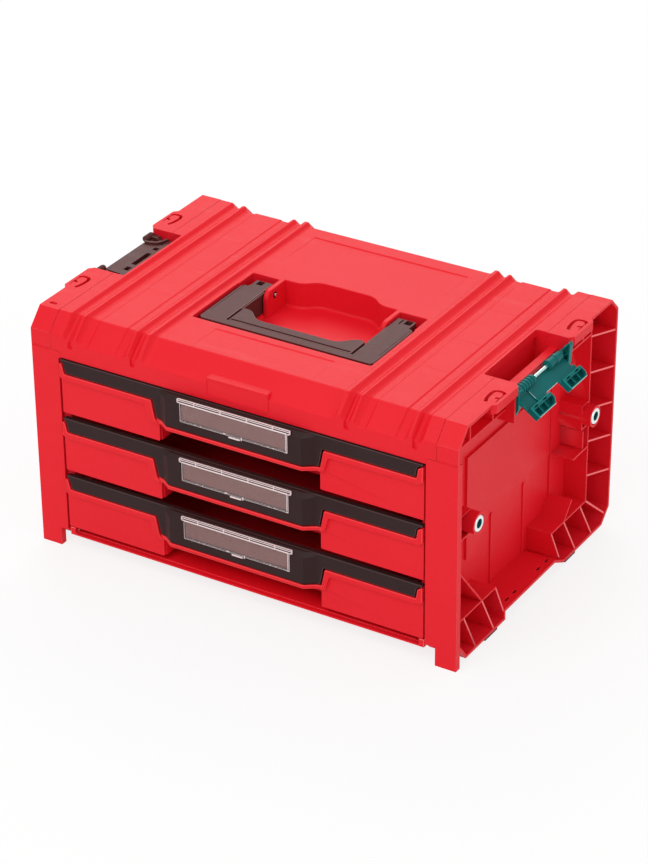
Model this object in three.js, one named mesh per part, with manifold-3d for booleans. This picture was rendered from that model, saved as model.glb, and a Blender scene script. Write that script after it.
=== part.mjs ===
// A stackable toolbox with three drawers: a red moulded case with ribbed sides, a fold-down
// carrying handle in the lid and a stacking latch on each side. X runs across the front,
// Y from front to back and Z up. Lengths are millimetres.

import * as THREE from 'three';
import { mergeVertices } from 'three/addons/utils/BufferGeometryUtils.js';
import Module from 'manifold-3d';

const wasm = await Module();
wasm.setup();

// Case
const caseWidth = 450;
const caseDepth = 302;
const caseHeight = 243.9;
const wall = 2.5;
const touchGap = 0.3;
const overrun = 2;
const weld = 0.001;
const halfWidth = caseWidth / 2;

// Outline of the case seen from the side
const frontChamferDepth = 16;
const frontChamferDrop = 16.9;
const rearChamferDepth = 13.5;
const rearChamferDrop = 13.9;
const rearDraft = 3.5;
const legHeight = 19;
const footLevel = 4.7;
const floorLevel = 13.6;
const frontFootStart = 18;
const frontFootEnd = 92;
const rearFootInset = 18;
const rearFootLength = 78.5;
const rearFootRamp = 17.5;
const rearFootEnd = caseDepth - rearFootInset;
const rearFootStart = rearFootEnd - rearFootLength;
const frontBandTop = caseHeight - frontChamferDrop;
const rearBandTop = caseHeight - rearChamferDrop;

// Side frame
const sideDepth = 35;
const ribSetback = 9;
const ribThickness = 1.8;
const postWidth = 32;
const postDepth = 7;
const legWidth = 21.5;
const wallOuterX = halfWidth - sideDepth;
const wallInnerX = wallOuterX - wall;
const ribX = halfWidth - ribSetback;
const postInnerX = halfWidth - postWidth;
const seamX = halfWidth - legWidth;

// Lid
const reliefRise = 4.4;
const reliefFront = 3;
const reliefLean = 3;
const lidCornerDrop = 33.9;
const openingDrop = 39.4;
const lidCornerZ = caseHeight - lidCornerDrop;
const openingTop = caseHeight - openingDrop;
const lidTop = caseHeight - reliefRise;
const lidUnder = lidTop - wall;

// Drawers
const drawerCount = 3;
const drawerTopGap = 1.5;
const drawerFootGap = 0.8;
const drawerGap = 5.5;
const baseStripTop = 23.2;
const drawerTop = openingTop - drawerTopGap;
const drawerStack = drawerTop - baseStripTop - drawerFootGap;
const drawerPitch = (drawerStack + drawerGap) / drawerCount;
const frontHeight = drawerPitch - drawerGap;
const stripHeight = 16.3;
const barHeight = 33;
const lipHeight = 3.5;
const barHalf = 72;
const barRootHalf = 84.7;
const barDepth = 9.15;
const frontThickness = 4.3;
const sideClearance = 0.7;
const fingerDepth = 22;
const trayRearGap = 17.7;
const trayWall = 2.2;
const trayTopDrop = 10;
const runnerWidth = 6.7;
const runnerHeight = 6;
const runnerRimThickness = 2.4;
const frontHalf = postInnerX - sideClearance;
const runnerInnerX = wallInnerX - touchGap - runnerWidth;
const trayHalf = runnerInnerX - 2 * touchGap;
const trayRear = caseDepth - trayRearGap;

// Latches
const pocketLength = 98.5;
const pocketShift = 1.75;
const pocketWidth = 33;
const latchPinInset = 3;
const latchPinDrop = 12.8;
const latchPinRadius = 2.2;
const latchOpenAngle = 36;
const pocketMiddle = caseDepth / 2 + pocketShift;
const pocketStart = pocketMiddle - pocketLength / 2;
const pocketEnd = pocketMiddle + pocketLength / 2;
const pocketInnerX = halfWidth - pocketWidth;
const latchPinX = halfWidth - latchPinInset;
const latchPinZ = caseHeight - latchPinDrop;

// Carrying handle
const handlePivotY = 160;
const handlePivotDrop = 11.4;
const handlePinRadius = 2.4;
const handleHalf = 92.5;
const handleReach = 80.5;
const armWidth = 25;
const armEndReach = 8.6;
const armInnerX = handleHalf - armWidth;
const handlePivotZ = caseHeight - handlePivotDrop;
const handleFrontY = handlePivotY - handleReach;

// Round pieces are drawn with these numbers of sides
const pinSides = 16;
const barrelSides = 20;
const ringSides = 28;

const paint = {
  red: new THREE.MeshStandardMaterial({ color: 0xe03638, roughness: 0.45, metalness: 0 }),
  dark: new THREE.MeshStandardMaterial({ color: 0x3a3132, roughness: 0.55, metalness: 0 }),
  teal: new THREE.MeshStandardMaterial({ color: 0x0f7a70, roughness: 0.4, metalness: 0 }),
  clear: new THREE.MeshStandardMaterial({
    color: 0xdfe4e6, roughness: 0.1, metalness: 0, transparent: true, opacity: 0.35,
  }),
  card: new THREE.MeshStandardMaterial({ color: 0x8f8282, roughness: 0.8, metalness: 0 }),
  steel: new THREE.MeshStandardMaterial({ color: 0xc9ced0, roughness: 0.3, metalness: 1 }),
};

// Solids

function solid(geometry) {
  geometry.deleteAttribute('normal');
  geometry.deleteAttribute('uv');
  const welded = mergeVertices(geometry, weld);
  return new wasm.Manifold(new wasm.Mesh({
    numProp: 3,
    vertProperties: new Float32Array(welded.attributes.position.array),
    triVerts: new Uint32Array(welded.index.array),
  }));
}

function box(x0, x1, y0, y1, z0, z1) {
  const geometry = new THREE.BoxGeometry(x1 - x0, y1 - y0, z1 - z0);
  geometry.translate((x0 + x1) / 2, (y0 + y1) / 2, (z0 + z1) / 2);
  return solid(geometry);
}

// Extrudes an outline along an axis. Its points are (y, z) along x, (x, z) along y and
// (x, y) along z.
function prism(axis, outline, from, to) {
  const shape = new THREE.Shape(outline.map(([a, b]) => new THREE.Vector2(a, b)));
  const geometry = new THREE.ExtrudeGeometry(shape, { depth: to - from, bevelEnabled: false });
  if (axis === 'y') {
    geometry.translate(0, 0, -to);
    geometry.rotateX(Math.PI / 2);
  } else {
    geometry.translate(0, 0, from);
  }
  if (axis === 'x') {
    geometry.applyMatrix4(new THREE.Matrix4().makeBasis(
      new THREE.Vector3(0, 1, 0),
      new THREE.Vector3(0, 0, 1),
      new THREE.Vector3(1, 0, 0),
    ));
  }
  return solid(geometry);
}

function circle(centre, radius, sides) {
  return Array.from({ length: sides }, (_, i) => {
    const angle = (i + 0.5) * 2 * Math.PI / sides;
    return [centre[0] + radius * Math.cos(angle), centre[1] + radius * Math.sin(angle)];
  });
}

function rod(axis, centre, radius, from, to, sides = pinSides) {
  return prism(axis, circle(centre, radius, sides), from, to);
}

function direction(a, b) {
  const length = Math.hypot(b[0] - a[0], b[1] - a[1]);
  return [(b[0] - a[0]) / length, (b[1] - a[1]) / length];
}

// Moves a corner between two edges sideways so that both edges shift by the distance.
function mitre(point, before, after, distance) {
  const left = [-before[1], before[0]];
  const next = [-after[1], after[0]];
  const scale = distance / (1 + left[0] * next[0] + left[1] * next[1]);
  return [point[0] + (left[0] + next[0]) * scale, point[1] + (left[1] + next[1]) * scale];
}

// Moves every edge of a closed outline inwards by the distance, or outwards if it is negative.
function inset(outline, distance) {
  const turn = Math.sign(THREE.ShapeUtils.area(outline.map(([x, y]) => ({ x, y }))));
  const count = outline.length;
  return outline.map((point, i) => {
    const before = direction(outline[(i + count - 1) % count], point);
    const after = direction(point, outline[(i + 1) % count]);
    return mitre(point, before, after, distance * turn);
  });
}

// The outline of a strip of even thickness along an open line of points.
function strip(line, thickness) {
  const edge = (distance) => line.map((point, i) => {
    const before = i > 0 ? direction(line[i - 1], point) : direction(point, line[i + 1]);
    const after = i < line.length - 1 ? direction(point, line[i + 1]) : before;
    return mitre(point, before, after, distance);
  });
  return [...edge(thickness / 2), ...edge(-thickness / 2).reverse()];
}

function join(...solids) {
  return solids.reduce((all, next) => all.add(next));
}

function cut(body, ...tools) {
  return tools.reduce((left, tool) => left.subtract(tool), body);
}

function toGeometry(manifold, mirrored = false) {
  const mesh = manifold.getMesh();
  const positions = new Float32Array(mesh.vertProperties);
  const index = Array.from(mesh.triVerts);
  if (mirrored) {
    for (let i = 0; i < positions.length; i += 3) positions[i] *= -1;
    index.reverse();
  }
  const geometry = new THREE.BufferGeometry();
  geometry.setAttribute('position', new THREE.BufferAttribute(positions, 3));
  geometry.setIndex(index);
  geometry.computeVertexNormals();
  return geometry;
}

const toolbox = new THREE.Group();
toolbox.name = 'toolbox';

function place(name, manifold, material, mirrored = false) {
  const mesh = new THREE.Mesh(toGeometry(manifold, mirrored), material);
  mesh.name = name;
  toolbox.add(mesh);
  return mesh;
}

// A piece made for the right side is placed there and mirrored to the left.
function placePair(name, manifold, material) {
  place(`${name}_left`, manifold, material, true);
  place(`${name}_right`, manifold, material);
}

// Side frames: an inner wall, a rim all round it, ribs between them and the front post.
// The lid lies over the rim inside the seam, so the rim stops short of it there.

const caseOutline = [
  [0, legHeight],
  [0, frontBandTop],
  [frontChamferDepth, caseHeight],
  [caseDepth - rearChamferDepth, caseHeight],
  [caseDepth, rearBandTop],
  [caseDepth - rearDraft, legHeight],
  [rearFootEnd, footLevel],
  [rearFootStart, footLevel],
  [rearFootStart - rearFootRamp, floorLevel],
  [frontFootEnd, floorLevel],
  [frontFootEnd, footLevel],
  [frontFootStart, footLevel],
  [postDepth, legHeight],
];

function rearFaceY(z) {
  return caseDepth - rearDraft * (rearBandTop - z) / (rearBandTop - legHeight);
}

// What the lid covers, from the seam inwards, with the gap to its inner face
const lidSpace = [
  [-overrun, lidCornerZ - touchGap],
  [-overrun, caseHeight + overrun],
  [caseDepth + overrun, caseHeight + overrun],
  [caseDepth + overrun, lidCornerZ - touchGap],
  [rearFaceY(lidCornerZ) - reliefFront - wall - touchGap, lidCornerZ - touchGap],
  [caseDepth - reliefFront - wall - touchGap, rearBandTop - reliefRise - wall],
  [caseDepth - rearChamferDepth - reliefFront - reliefLean - wall, lidUnder - touchGap],
  [frontChamferDepth + reliefFront + reliefLean + wall, lidUnder - touchGap],
  [reliefFront + wall + touchGap, frontBandTop - reliefRise - wall],
  [reliefFront + wall + touchGap, lidCornerZ - touchGap],
];

const webDrop = 27.9;
const webZ = caseHeight - webDrop;
const webThickness = 2.2;
const rimThickness = 2.6;
const flangeThickness = 3;
const lobeReach = 4;
const lobeDrop = 9;
const lobeRamp = 4;
const frontLobeStart = 57;
const frontLobeLength = 46;
const rearLobeInset = 56;
const rearLobeLength = 43;
const socketInset = 10;
const socketReach = 1;
const socketRound = 4;
const socketDepth = 6;
const socketLength = 25;
const frontSocketSetback = 3;
const rearSocketSetback = 13;
const frontLobe = [frontLobeStart, frontLobeStart + frontLobeLength];
const rearLobeEnd = caseDepth - rearLobeInset;
const rearLobe = [rearLobeEnd - rearLobeLength, rearLobeEnd];
const frontSocketStart = frontLobe[0] + frontSocketSetback;
const rearSocketStart = rearLobe[0] + rearSocketSetback;
const socketInnerX = halfWidth - socketInset;
const socketOuterX = halfWidth + socketReach;

const troughDrop = 36.9;
const ledgeDrop = 14.4;
const ledgeInset = 11.5;
const ledgeWidth = 8;
const ledgeCellWall = 2;
const troughFloorZ = caseHeight - troughDrop;
const ledgeZ = caseHeight - ledgeDrop;
const ledgeOuterX = halfWidth - ledgeInset;
const ledgeInnerX = ledgeOuterX - ledgeWidth;

const bossRadius = 10.5;
const bossSocketDepth = 13;
const eyeletRadius = 8;
const eyeletBore = 4;
const bossArmHalf = 12;
const frontBossY = 39.7;
const rearBossInset = 39.6;
const bossHeightShare = 0.5484;
const bossZ = caseHeight * bossHeightShare;
const frontBoss = [frontBossY, bossZ];
const rearBoss = [caseDepth - rearBossInset, bossZ];

const plaqueRise = 2.5;
const plaqueFrontY = 76;
const plaqueLength = 158;
const plaqueLowZ = 98;
const plaqueHeight = 74;
const plaqueCornerLength = 14;
const plaqueCornerDrop = 32;
const plaqueRearY = plaqueFrontY + plaqueLength;
const plaqueHighZ = plaqueLowZ + plaqueHeight;
const guideRibShares = [0.414, 0.619];
const guideRibRise = 1.5;
const guideRibWidth = 3;
const guideRibTop = 90;

// Ribs in the feet stand at shares of their foot's length
const footTopZ = 37.5;
const footWallInset = 3;
const footRibRise = 3;
const frontNodeShare = 0.615;
const frontBraceFootShare = 0.712;
const frontStrutShares = [0.162, 0.255];
const rearNodeShare = 0.21;
const rearBraceFootShare = 0.312;
const rearStrutShares = [0.631, 0.733];
const frontBraceRise = 68.5;
const rearBraceRise = 16.5;
const rearFootWallInset = 8.5;
const cornerStrutReach = 10.5;

const columnInset = 35.5;
const columnSlotInset = 10.5;
const columnSlotRise = 3;
const columnSlotLength = 18;
const shelfLength = 29.5;
const rungShares = [0.246, 0.398, 0.541, 0.697, 0.853];
const rungRise = 5;
const stepRise = 2;
const stepDrop = 43.9;
const flangeRibShares = [0.1225, 0.258, 0.828];
const baseLedgeWidth = 5.5;
const columnY = caseDepth - columnInset;
const shelfFrontY = columnY - shelfLength;
const rungs = rungShares.map((share) => share * caseHeight);
const shelfZ = rungs[1];

const slotLevel = floorLevel + rimThickness;
const floorSlotShares = [0.354, 0.404, 0.556, 0.609];
const floorSlotInset = 7;
const floorSlotX = halfWidth - floorSlotInset;
const floorSlotLength = 7;
const floorSlotWidth = 2.5;

function lobe([start, end]) {
  const outer = halfWidth + lobeReach;
  return prism('z', [
    [seamX, start],
    [halfWidth, start],
    [outer, start + lobeRamp],
    [outer, end - lobeRamp],
    [halfWidth, end],
    [seamX, end],
  ], caseHeight - lobeDrop, caseHeight);
}

function stackingSocket(start) {
  const end = start + socketLength;
  return prism('z', [
    [socketInnerX, start],
    [socketOuterX - socketRound, start],
    [socketOuterX, start + socketRound],
    [socketOuterX, end - socketRound],
    [socketOuterX - socketRound, end],
    [socketInnerX, end],
  ], caseHeight - socketDepth, caseHeight + overrun);
}

function rib(line, outer = ribX, thickness = ribThickness) {
  return prism('x', strip(line, thickness), wallInnerX, outer);
}

function frontFootY(share) {
  return frontFootStart + share * (frontFootEnd - frontFootStart);
}

function rearFootY(share) {
  return rearFootStart + share * rearFootLength;
}

function sideRibs() {
  const footRibZ = footLevel + footRibRise;
  const frontWallY = frontFootEnd - footWallInset;
  const rearWallY = rearFootStart - rearFootWallInset;
  const slotY = columnY - columnSlotInset;
  const slotZ = shelfZ + columnSlotRise;
  return join(
    // Front foot
    rib([[wall, footTopZ], [frontWallY, footTopZ], [frontWallY, floorLevel]]),
    rib([
      [postDepth, footTopZ + frontBraceRise],
      [frontFootY(frontNodeShare), footTopZ],
      [frontFootY(frontBraceFootShare), footRibZ],
    ]),
    rib([
      [frontFootY(frontStrutShares[0]), footTopZ],
      [frontFootY(frontStrutShares[1]), footRibZ],
    ]),
    // Rear foot
    rib([[rearWallY, floorLevel], [rearWallY, footTopZ], [columnY, footTopZ]]),
    rib([
      [shelfFrontY, footTopZ + rearBraceRise],
      [rearFootY(rearNodeShare), footTopZ],
      [rearFootY(rearBraceFootShare), footRibZ],
    ]),
    rib([
      [rearFootY(rearStrutShares[0]), footTopZ],
      [rearFootY(rearStrutShares[1]), footRibZ],
    ]),
    rib([[columnY, footTopZ], [rearFootEnd + cornerStrutReach, footRibZ + footRibRise]]),
    // Column behind the rear boss and its rungs to the rear rim
    rib([[columnY, footTopZ], [columnY, caseHeight - wall]]),
    rib([[slotY, slotZ], [slotY, slotZ + columnSlotLength]]),
    ...rungs.map((z) => rib([[columnY, z - rungRise], [rearFaceY(z) - wall, z]])),
    rib([[shelfFrontY, shelfZ], [columnY, shelfZ]]),
    // Cells below the flange
    rib([[wall, webZ], [pocketStart - wall, webZ]]),
    rib([[pocketEnd + wall, webZ], [columnY, webZ]]),
    ...flangeRibShares.map((share) => rib([
      [share * caseDepth, webZ],
      [share * caseDepth, caseHeight - wall],
    ])),
    // Arms that carry the two bosses
    rib([[wall, frontBoss[1] + bossArmHalf], [frontBoss[0], frontBoss[1] + bossArmHalf]]),
    rib([[wall, frontBoss[1] - bossArmHalf], [frontBoss[0], frontBoss[1] - bossArmHalf]]),
    rib([
      [columnY, rearBoss[1] + bossArmHalf],
      [columnY - 2 * bossArmHalf + bossRadius, rearBoss[1] + bossArmHalf],
      [columnY - 2 * bossArmHalf + bossRadius, rearBoss[1] - bossArmHalf],
      [columnY, rearBoss[1] - bossArmHalf],
    ]),
  );
}

function sideFrame() {
  const rim = cut(
    prism('x', caseOutline, wallInnerX, halfWidth),
    prism('x', inset(caseOutline, rimThickness), wallInnerX - overrun, halfWidth + overrun),
  );
  const innerWall = prism('x', inset(caseOutline, rimThickness / 2), wallInnerX, wallOuterX);
  const post = join(
    box(wallInnerX, halfWidth, 0, postDepth, legHeight, lidCornerZ),
    box(seamX, halfWidth, 0, postDepth, 0, legHeight + wall),
  );
  const corner = prism('x', [
    [0, lidCornerZ - wall],
    [0, frontBandTop],
    [frontChamferDepth, caseHeight],
    [frontChamferDepth, caseHeight - flangeThickness],
    [flangeThickness, frontBandTop - flangeThickness / 2],
    [flangeThickness, lidCornerZ - wall],
  ], seamX, halfWidth);
  const flange = box(
    seamX, halfWidth,
    frontChamferDepth, caseDepth - rearChamferDepth,
    caseHeight - flangeThickness, caseHeight,
  );
  const web = prism('x', inset([
    [0, webZ],
    [0, frontBandTop],
    [frontChamferDepth, caseHeight],
    [caseDepth - rearChamferDepth, caseHeight],
    [caseDepth, rearBandTop],
    [rearFaceY(webZ), webZ],
  ], wall / 2), seamX, seamX + webThickness);
  const plaque = prism('x', [
    [plaqueFrontY, plaqueLowZ - plaqueCornerDrop],
    [plaqueFrontY + plaqueCornerLength, plaqueLowZ - plaqueCornerDrop],
    [plaqueFrontY + plaqueCornerLength + plaqueCornerDrop, plaqueLowZ],
    [plaqueRearY, plaqueLowZ],
    [plaqueRearY, plaqueHighZ],
    [plaqueFrontY, plaqueHighZ],
  ], wallOuterX - wall / 2, wallOuterX + plaqueRise);
  const step = box(
    wallOuterX - wall / 2, wallOuterX + stepRise,
    shelfFrontY, rearFaceY(legHeight) - wall / 2, footTopZ, caseHeight - stepDrop,
  );
  const guides = guideRibShares.map((share) => box(
    wallOuterX - wall / 2, wallOuterX + guideRibRise,
    share * caseDepth - guideRibWidth / 2, share * caseDepth + guideRibWidth / 2,
    floorLevel + wall / 2, guideRibTop,
  ));
  const bosses = [frontBoss, rearBoss].map(
    (centre) => rod('x', centre, bossRadius, wallInnerX, halfWidth - touchGap, ringSides),
  );
  const bossSockets = [frontBoss, rearBoss].map((centre) => rod(
    'x', centre, eyeletRadius + touchGap, halfWidth - bossSocketDepth - touchGap,
    halfWidth + overrun, ringSides,
  ));
  const baseLedge = box(
    wallInnerX - baseLedgeWidth, wallInnerX + wall / 2,
    postDepth + touchGap, rearFootEnd, floorLevel - wall / 2, floorLevel + wall / 2,
  );
  const slots = floorSlotShares.map((share) => box(
    floorSlotX - floorSlotWidth / 2, floorSlotX + floorSlotWidth / 2,
    share * caseDepth - floorSlotLength / 2, share * caseDepth + floorSlotLength / 2,
    footLevel, slotLevel + overrun,
  ));
  const flangeParts = cut(
    join(corner, flange, web, lobe(frontLobe), lobe(rearLobe)),
    stackingSocket(frontSocketStart),
    stackingSocket(rearSocketStart),
  );

  // The latch pocket: a finger trough beside the lid, a ledge and two end walls
  const pocket = box(
    wallOuterX, halfWidth + lobeReach + overrun,
    pocketStart, pocketEnd, troughFloorZ, caseHeight + overrun,
  );
  const pocketEnds = [pocketStart - wall, pocketEnd].map((y) => box(
    wallInnerX, halfWidth - touchGap, y, y + wall, troughFloorZ - wall, caseHeight - wall / 2,
  ));
  const troughFloor = box(
    wallInnerX, ledgeInnerX + ledgeCellWall, pocketStart - wall, pocketEnd + wall,
    troughFloorZ - wall, troughFloorZ,
  );
  const ledge = cut(
    box(
      ledgeInnerX, ledgeOuterX, pocketStart - wall, pocketEnd + wall,
      troughFloorZ - wall, ledgeZ,
    ),
    box(
      ledgeInnerX + ledgeCellWall, ledgeOuterX - ledgeCellWall, pocketStart, pocketEnd,
      troughFloorZ - wall - overrun, ledgeZ - ledgeCellWall,
    ),
  );

  // The drawer fronts close in front of the inner wall, between the posts
  const frontOpening = box(
    0, postInnerX, -overrun, frontThickness + touchGap, 0, openingTop + overrun,
  );
  const frame = cut(
    join(rim, innerWall, post, plaque, step, ...guides, ...bosses, sideRibs(), flangeParts),
    ...bossSockets,
    ...slots,
    pocket,
  );
  const lidRoom = join(
    prism('x', lidSpace, 0, seamX),
    box(
      0, postInnerX, -overrun, reliefFront + wall + touchGap,
      openingTop - touchGap, lidCornerZ,
    ),
  );
  return cut(
    join(frame, ...pocketEnds, troughFloor, ledge, baseLedge),
    lidRoom,
    frontOpening,
  );
}

placePair('side_frame', sideFrame(), paint.red);

for (const [row, centre] of [['front', frontBoss], ['rear', rearBoss]]) {
  const ring = cut(
    rod('x', centre, eyeletRadius, halfWidth - bossSocketDepth, halfWidth, ringSides),
    rod('x', centre, eyeletBore, 0, halfWidth + overrun, ringSides),
  );
  placePair(`side_eyelet_${row}`, ring, paint.steel);
}

// Lid: one moulding whose raised ribs run from the front band over the top to the rear.
// Each column of the relief has a place across the lid and a height between the low skin
// (0) and the ridges (1).

const panelInset = 3.5;
const panelShare = 0.11;
const innerRidgeRun = 5.5;
const innerRidgeWidth = 5.5;
const middleRidgeRun = 5;
const middleRidgeWidth = 4;
const middleRidgeShare = 0.8;
const outerRidgeInset = 51;
const outerRidgeWidth = 5;
const outerRidgeShare = 0.9;
const outerRidgeRun = 4;
const flangeInset = 37;
const lidHalf = seamX - touchGap;
const panelHalf = handleHalf + panelInset;
const innerRidge = panelHalf + innerRidgeRun;
const middleRidge = innerRidge + innerRidgeWidth + 2 * middleRidgeRun;
const outerRidge = halfWidth - outerRidgeInset;
const flangeStart = halfWidth - flangeInset;

const badgeHalf = 33;
const badgeHeight = 18.5;
const badgeRise = 5;
const badgeDepth = 8;

function lidColumns() {
  const half = [
    [panelHalf, panelShare],
    [innerRidge, 1],
    [innerRidge + innerRidgeWidth, 1],
    [middleRidge - middleRidgeRun, 0],
    [middleRidge, middleRidgeShare],
    [middleRidge + middleRidgeWidth, middleRidgeShare],
    [middleRidge + middleRidgeWidth + outerRidgeRun, 0],
    [outerRidge - outerRidgeRun, 0],
    [outerRidge, outerRidgeShare],
    [outerRidge + outerRidgeWidth, outerRidgeShare],
    [outerRidge + outerRidgeWidth + outerRidgeRun, 0],
    [flangeStart, 1],
    [lidHalf, 1],
  ];
  return [...half.map(([x, share]) => [-x, share]).reverse(), ...half];
}

// Stations along the lid from its front edge to its rear edge: the ridge line, the low skin
// and the inner face, each as (y, z)
function lidStations() {
  const rear = rearFaceY(lidCornerZ);
  const lean = reliefFront + reliefLean;
  const rearFlat = caseDepth - rearChamferDepth;
  return [
    {
      high: [0, openingTop],
      low: [reliefFront, openingTop],
      inner: [reliefFront + wall, openingTop],
    },
    {
      high: [0, frontBandTop],
      low: [reliefFront, frontBandTop - reliefRise],
      inner: [reliefFront + wall, frontBandTop - reliefRise - wall / 2],
    },
    {
      high: [frontChamferDepth, caseHeight],
      low: [frontChamferDepth + lean, lidTop],
      inner: [frontChamferDepth + lean + wall / 2, lidUnder],
    },
    {
      high: [rearFlat, caseHeight],
      low: [rearFlat - lean, lidTop],
      inner: [rearFlat - lean - wall / 2, lidUnder],
    },
    {
      high: [caseDepth, rearBandTop],
      low: [caseDepth - reliefFront, rearBandTop - reliefRise],
      inner: [caseDepth - reliefFront - wall, rearBandTop - reliefRise - wall / 2],
    },
    {
      high: [rear, lidCornerZ],
      low: [rear - reliefFront, lidCornerZ],
      inner: [rear - reliefFront - wall, lidCornerZ],
    },
  ];
}

// A closed shell between the relief and the inner face, as a grid of columns and stations
function lidShell() {
  const columns = lidColumns();
  const stations = lidStations();
  const positions = [];
  const index = [];
  const point = (layer, s, c) => (layer * stations.length + s) * columns.length + c;
  const quad = (a, b, c, d) => index.push(a, b, c, a, c, d);
  for (const layer of [0, 1]) {
    for (const { high, low, inner } of stations) {
      for (const [x, share] of columns) {
        const y = layer ? inner[0] : low[0] + share * (high[0] - low[0]);
        const z = layer ? inner[1] : low[1] + share * (high[1] - low[1]);
        positions.push(x, y, z);
      }
    }
  }
  const lastStation = stations.length - 1;
  const lastColumn = columns.length - 1;
  for (let s = 0; s < lastStation; s += 1) {
    for (let c = 0; c < lastColumn; c += 1) {
      quad(point(0, s, c), point(0, s, c + 1), point(0, s + 1, c + 1), point(0, s + 1, c));
      quad(point(1, s, c), point(1, s + 1, c), point(1, s + 1, c + 1), point(1, s, c + 1));
    }
    quad(point(0, s, 0), point(0, s + 1, 0), point(1, s + 1, 0), point(1, s, 0));
    quad(
      point(0, s, lastColumn), point(1, s, lastColumn),
      point(1, s + 1, lastColumn), point(0, s + 1, lastColumn),
    );
  }
  for (let c = 0; c < lastColumn; c += 1) {
    quad(point(0, 0, c), point(1, 0, c), point(1, 0, c + 1), point(0, 0, c + 1));
    quad(
      point(0, lastStation, c), point(0, lastStation, c + 1),
      point(1, lastStation, c + 1), point(1, lastStation, c),
    );
  }
  const geometry = new THREE.BufferGeometry();
  geometry.setAttribute('position', new THREE.Float32BufferAttribute(positions, 3));
  geometry.setIndex(index);
  return solid(geometry);
}

// Handle recess: a well for the handle, two slots for its arm ends and a deeper bowl that
// the fingers reach into, with an ear beside each slot
const wellSideGap = 2.5;
const wellFrontGap = 6.5;
const wellRearInset = 8;
const wellDepth = 17.5;
const slotInnerGap = 1;
const slotOuterGap = 1.5;
const slotRearGap = 7.4;
const bowlDepth = 26;
const bowlFrontGap = 0.5;
const bowlRearReach = 18.5;
const bowlDeepReach = 10;
const bowlCornerInset = 25;
const bowlDeepInset = 12.5;
const bowlWall = 2;
const earGap = 1.2;
const earThickness = 5;
const earReach = 14;
const earRound = 6;
const wellHalf = handleHalf + wellSideGap;
const wellFrontY = handleFrontY - wellFrontGap;
const wellRearY = handlePivotY - wellRearInset;
const wellFloorZ = lidTop - wellDepth;
const slotInnerX = armInnerX - slotInnerGap;
const slotOuterX = handleHalf + slotOuterGap;
const slotRearY = handlePivotY + armEndReach + slotRearGap;
const bowlFrontY = handleFrontY - bowlFrontGap;
const bowlRearY = handlePivotY + bowlRearReach;
const bowlDeepY = bowlRearY + bowlDeepReach;
const bowlFloorZ = lidTop - bowlDepth;
const bowlCornerHalf = slotInnerX - bowlCornerInset;
const bowlDeepHalf = bowlCornerHalf - bowlDeepInset;
const earOuterX = slotInnerX - earGap;
const earInnerX = earOuterX - earThickness;
const earFrontY = handlePivotY - earReach;

const wellOutline = [
  [-wellHalf, wellFrontY],
  [wellHalf, wellFrontY],
  [wellHalf, wellRearY],
  [-wellHalf, wellRearY],
];
const bowlOutline = [
  [-slotInnerX, bowlFrontY],
  [slotInnerX, bowlFrontY],
  [slotInnerX, bowlRearY],
  [bowlCornerHalf, bowlRearY],
  [bowlDeepHalf, bowlDeepY],
  [-bowlDeepHalf, bowlDeepY],
  [-bowlCornerHalf, bowlRearY],
  [-slotInnerX, bowlRearY],
];

function slotOutline(side) {
  return [
    [side * slotInnerX, wellRearY - wall],
    [side * slotOuterX, wellRearY - wall],
    [side * slotOuterX, slotRearY],
    [side * slotInnerX, slotRearY],
  ];
}

function topCover() {
  const shallow = [wellOutline, slotOutline(-1), slotOutline(1)];
  const pan = join(
    ...shallow.map((outline) => prism(
      'z', inset(outline, -bowlWall), wellFloorZ - bowlWall, lidTop - wall / 2,
    )),
    prism('z', inset(bowlOutline, -bowlWall), bowlFloorZ - bowlWall, lidTop - wall / 2),
  );
  const hollow = [
    ...shallow.map((outline) => prism('z', outline, wellFloorZ, caseHeight + overrun)),
    prism('z', bowlOutline, bowlFloorZ, caseHeight + overrun),
  ];
  const ears = [-1, 1].map((side) => prism('x', [
    [earFrontY, bowlFloorZ - bowlWall / 2],
    [earFrontY, lidTop - earRound],
    [earFrontY + earRound, lidTop],
    [bowlRearY + bowlWall / 2, lidTop],
    [bowlRearY + bowlWall / 2, bowlFloorZ - bowlWall / 2],
  ], Math.min(side * earInnerX, side * earOuterX), Math.max(side * earInnerX, side * earOuterX)));
  const earBore = rod(
    'x', [handlePivotY, handlePivotZ], handlePinRadius + touchGap,
    -slotInnerX + overrun / 2, slotInnerX - overrun / 2,
  );
  const badgeFoot = openingTop + badgeRise;
  const badge = box(-badgeHalf, badgeHalf, 0, badgeDepth, badgeFoot, badgeFoot + badgeHeight);
  const corners = [-1, 1].map((side) => box(
    Math.min(side * (postInnerX - touchGap), side * (halfWidth + overrun)),
    Math.max(side * (postInnerX - touchGap), side * (halfWidth + overrun)),
    -overrun, reliefFront + wall + overrun, openingTop - overrun, lidCornerZ,
  ));
  const pockets = [-1, 1].map((side) => box(
    Math.min(side * pocketInnerX, side * halfWidth),
    Math.max(side * pocketInnerX, side * halfWidth),
    pocketStart, pocketEnd, lidUnder - overrun, caseHeight + overrun,
  ));
  const body = cut(join(lidShell(), pan, badge), ...hollow, ...corners, ...pockets);
  return cut(join(body, ...ears), earBore);
}

place('top_cover', topCover(), paint.red);

// Back and base panels close the case between the side frames

const baseThickness = 2.85;
const baseUnderZ = floorLevel + wall / 2 + touchGap;
const panelHalfWidth = wallInnerX - touchGap;

const backPanel = prism('x', [
  [rearFaceY(lidCornerZ) - touchGap, lidCornerZ - touchGap],
  [rearFaceY(lidCornerZ) - wall - touchGap, lidCornerZ - touchGap],
  [rearFaceY(legHeight) - wall - touchGap, baseUnderZ],
  [rearFaceY(legHeight) - touchGap, baseUnderZ],
], -panelHalfWidth, panelHalfWidth);
place('back_panel', backPanel, paint.red);

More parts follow.
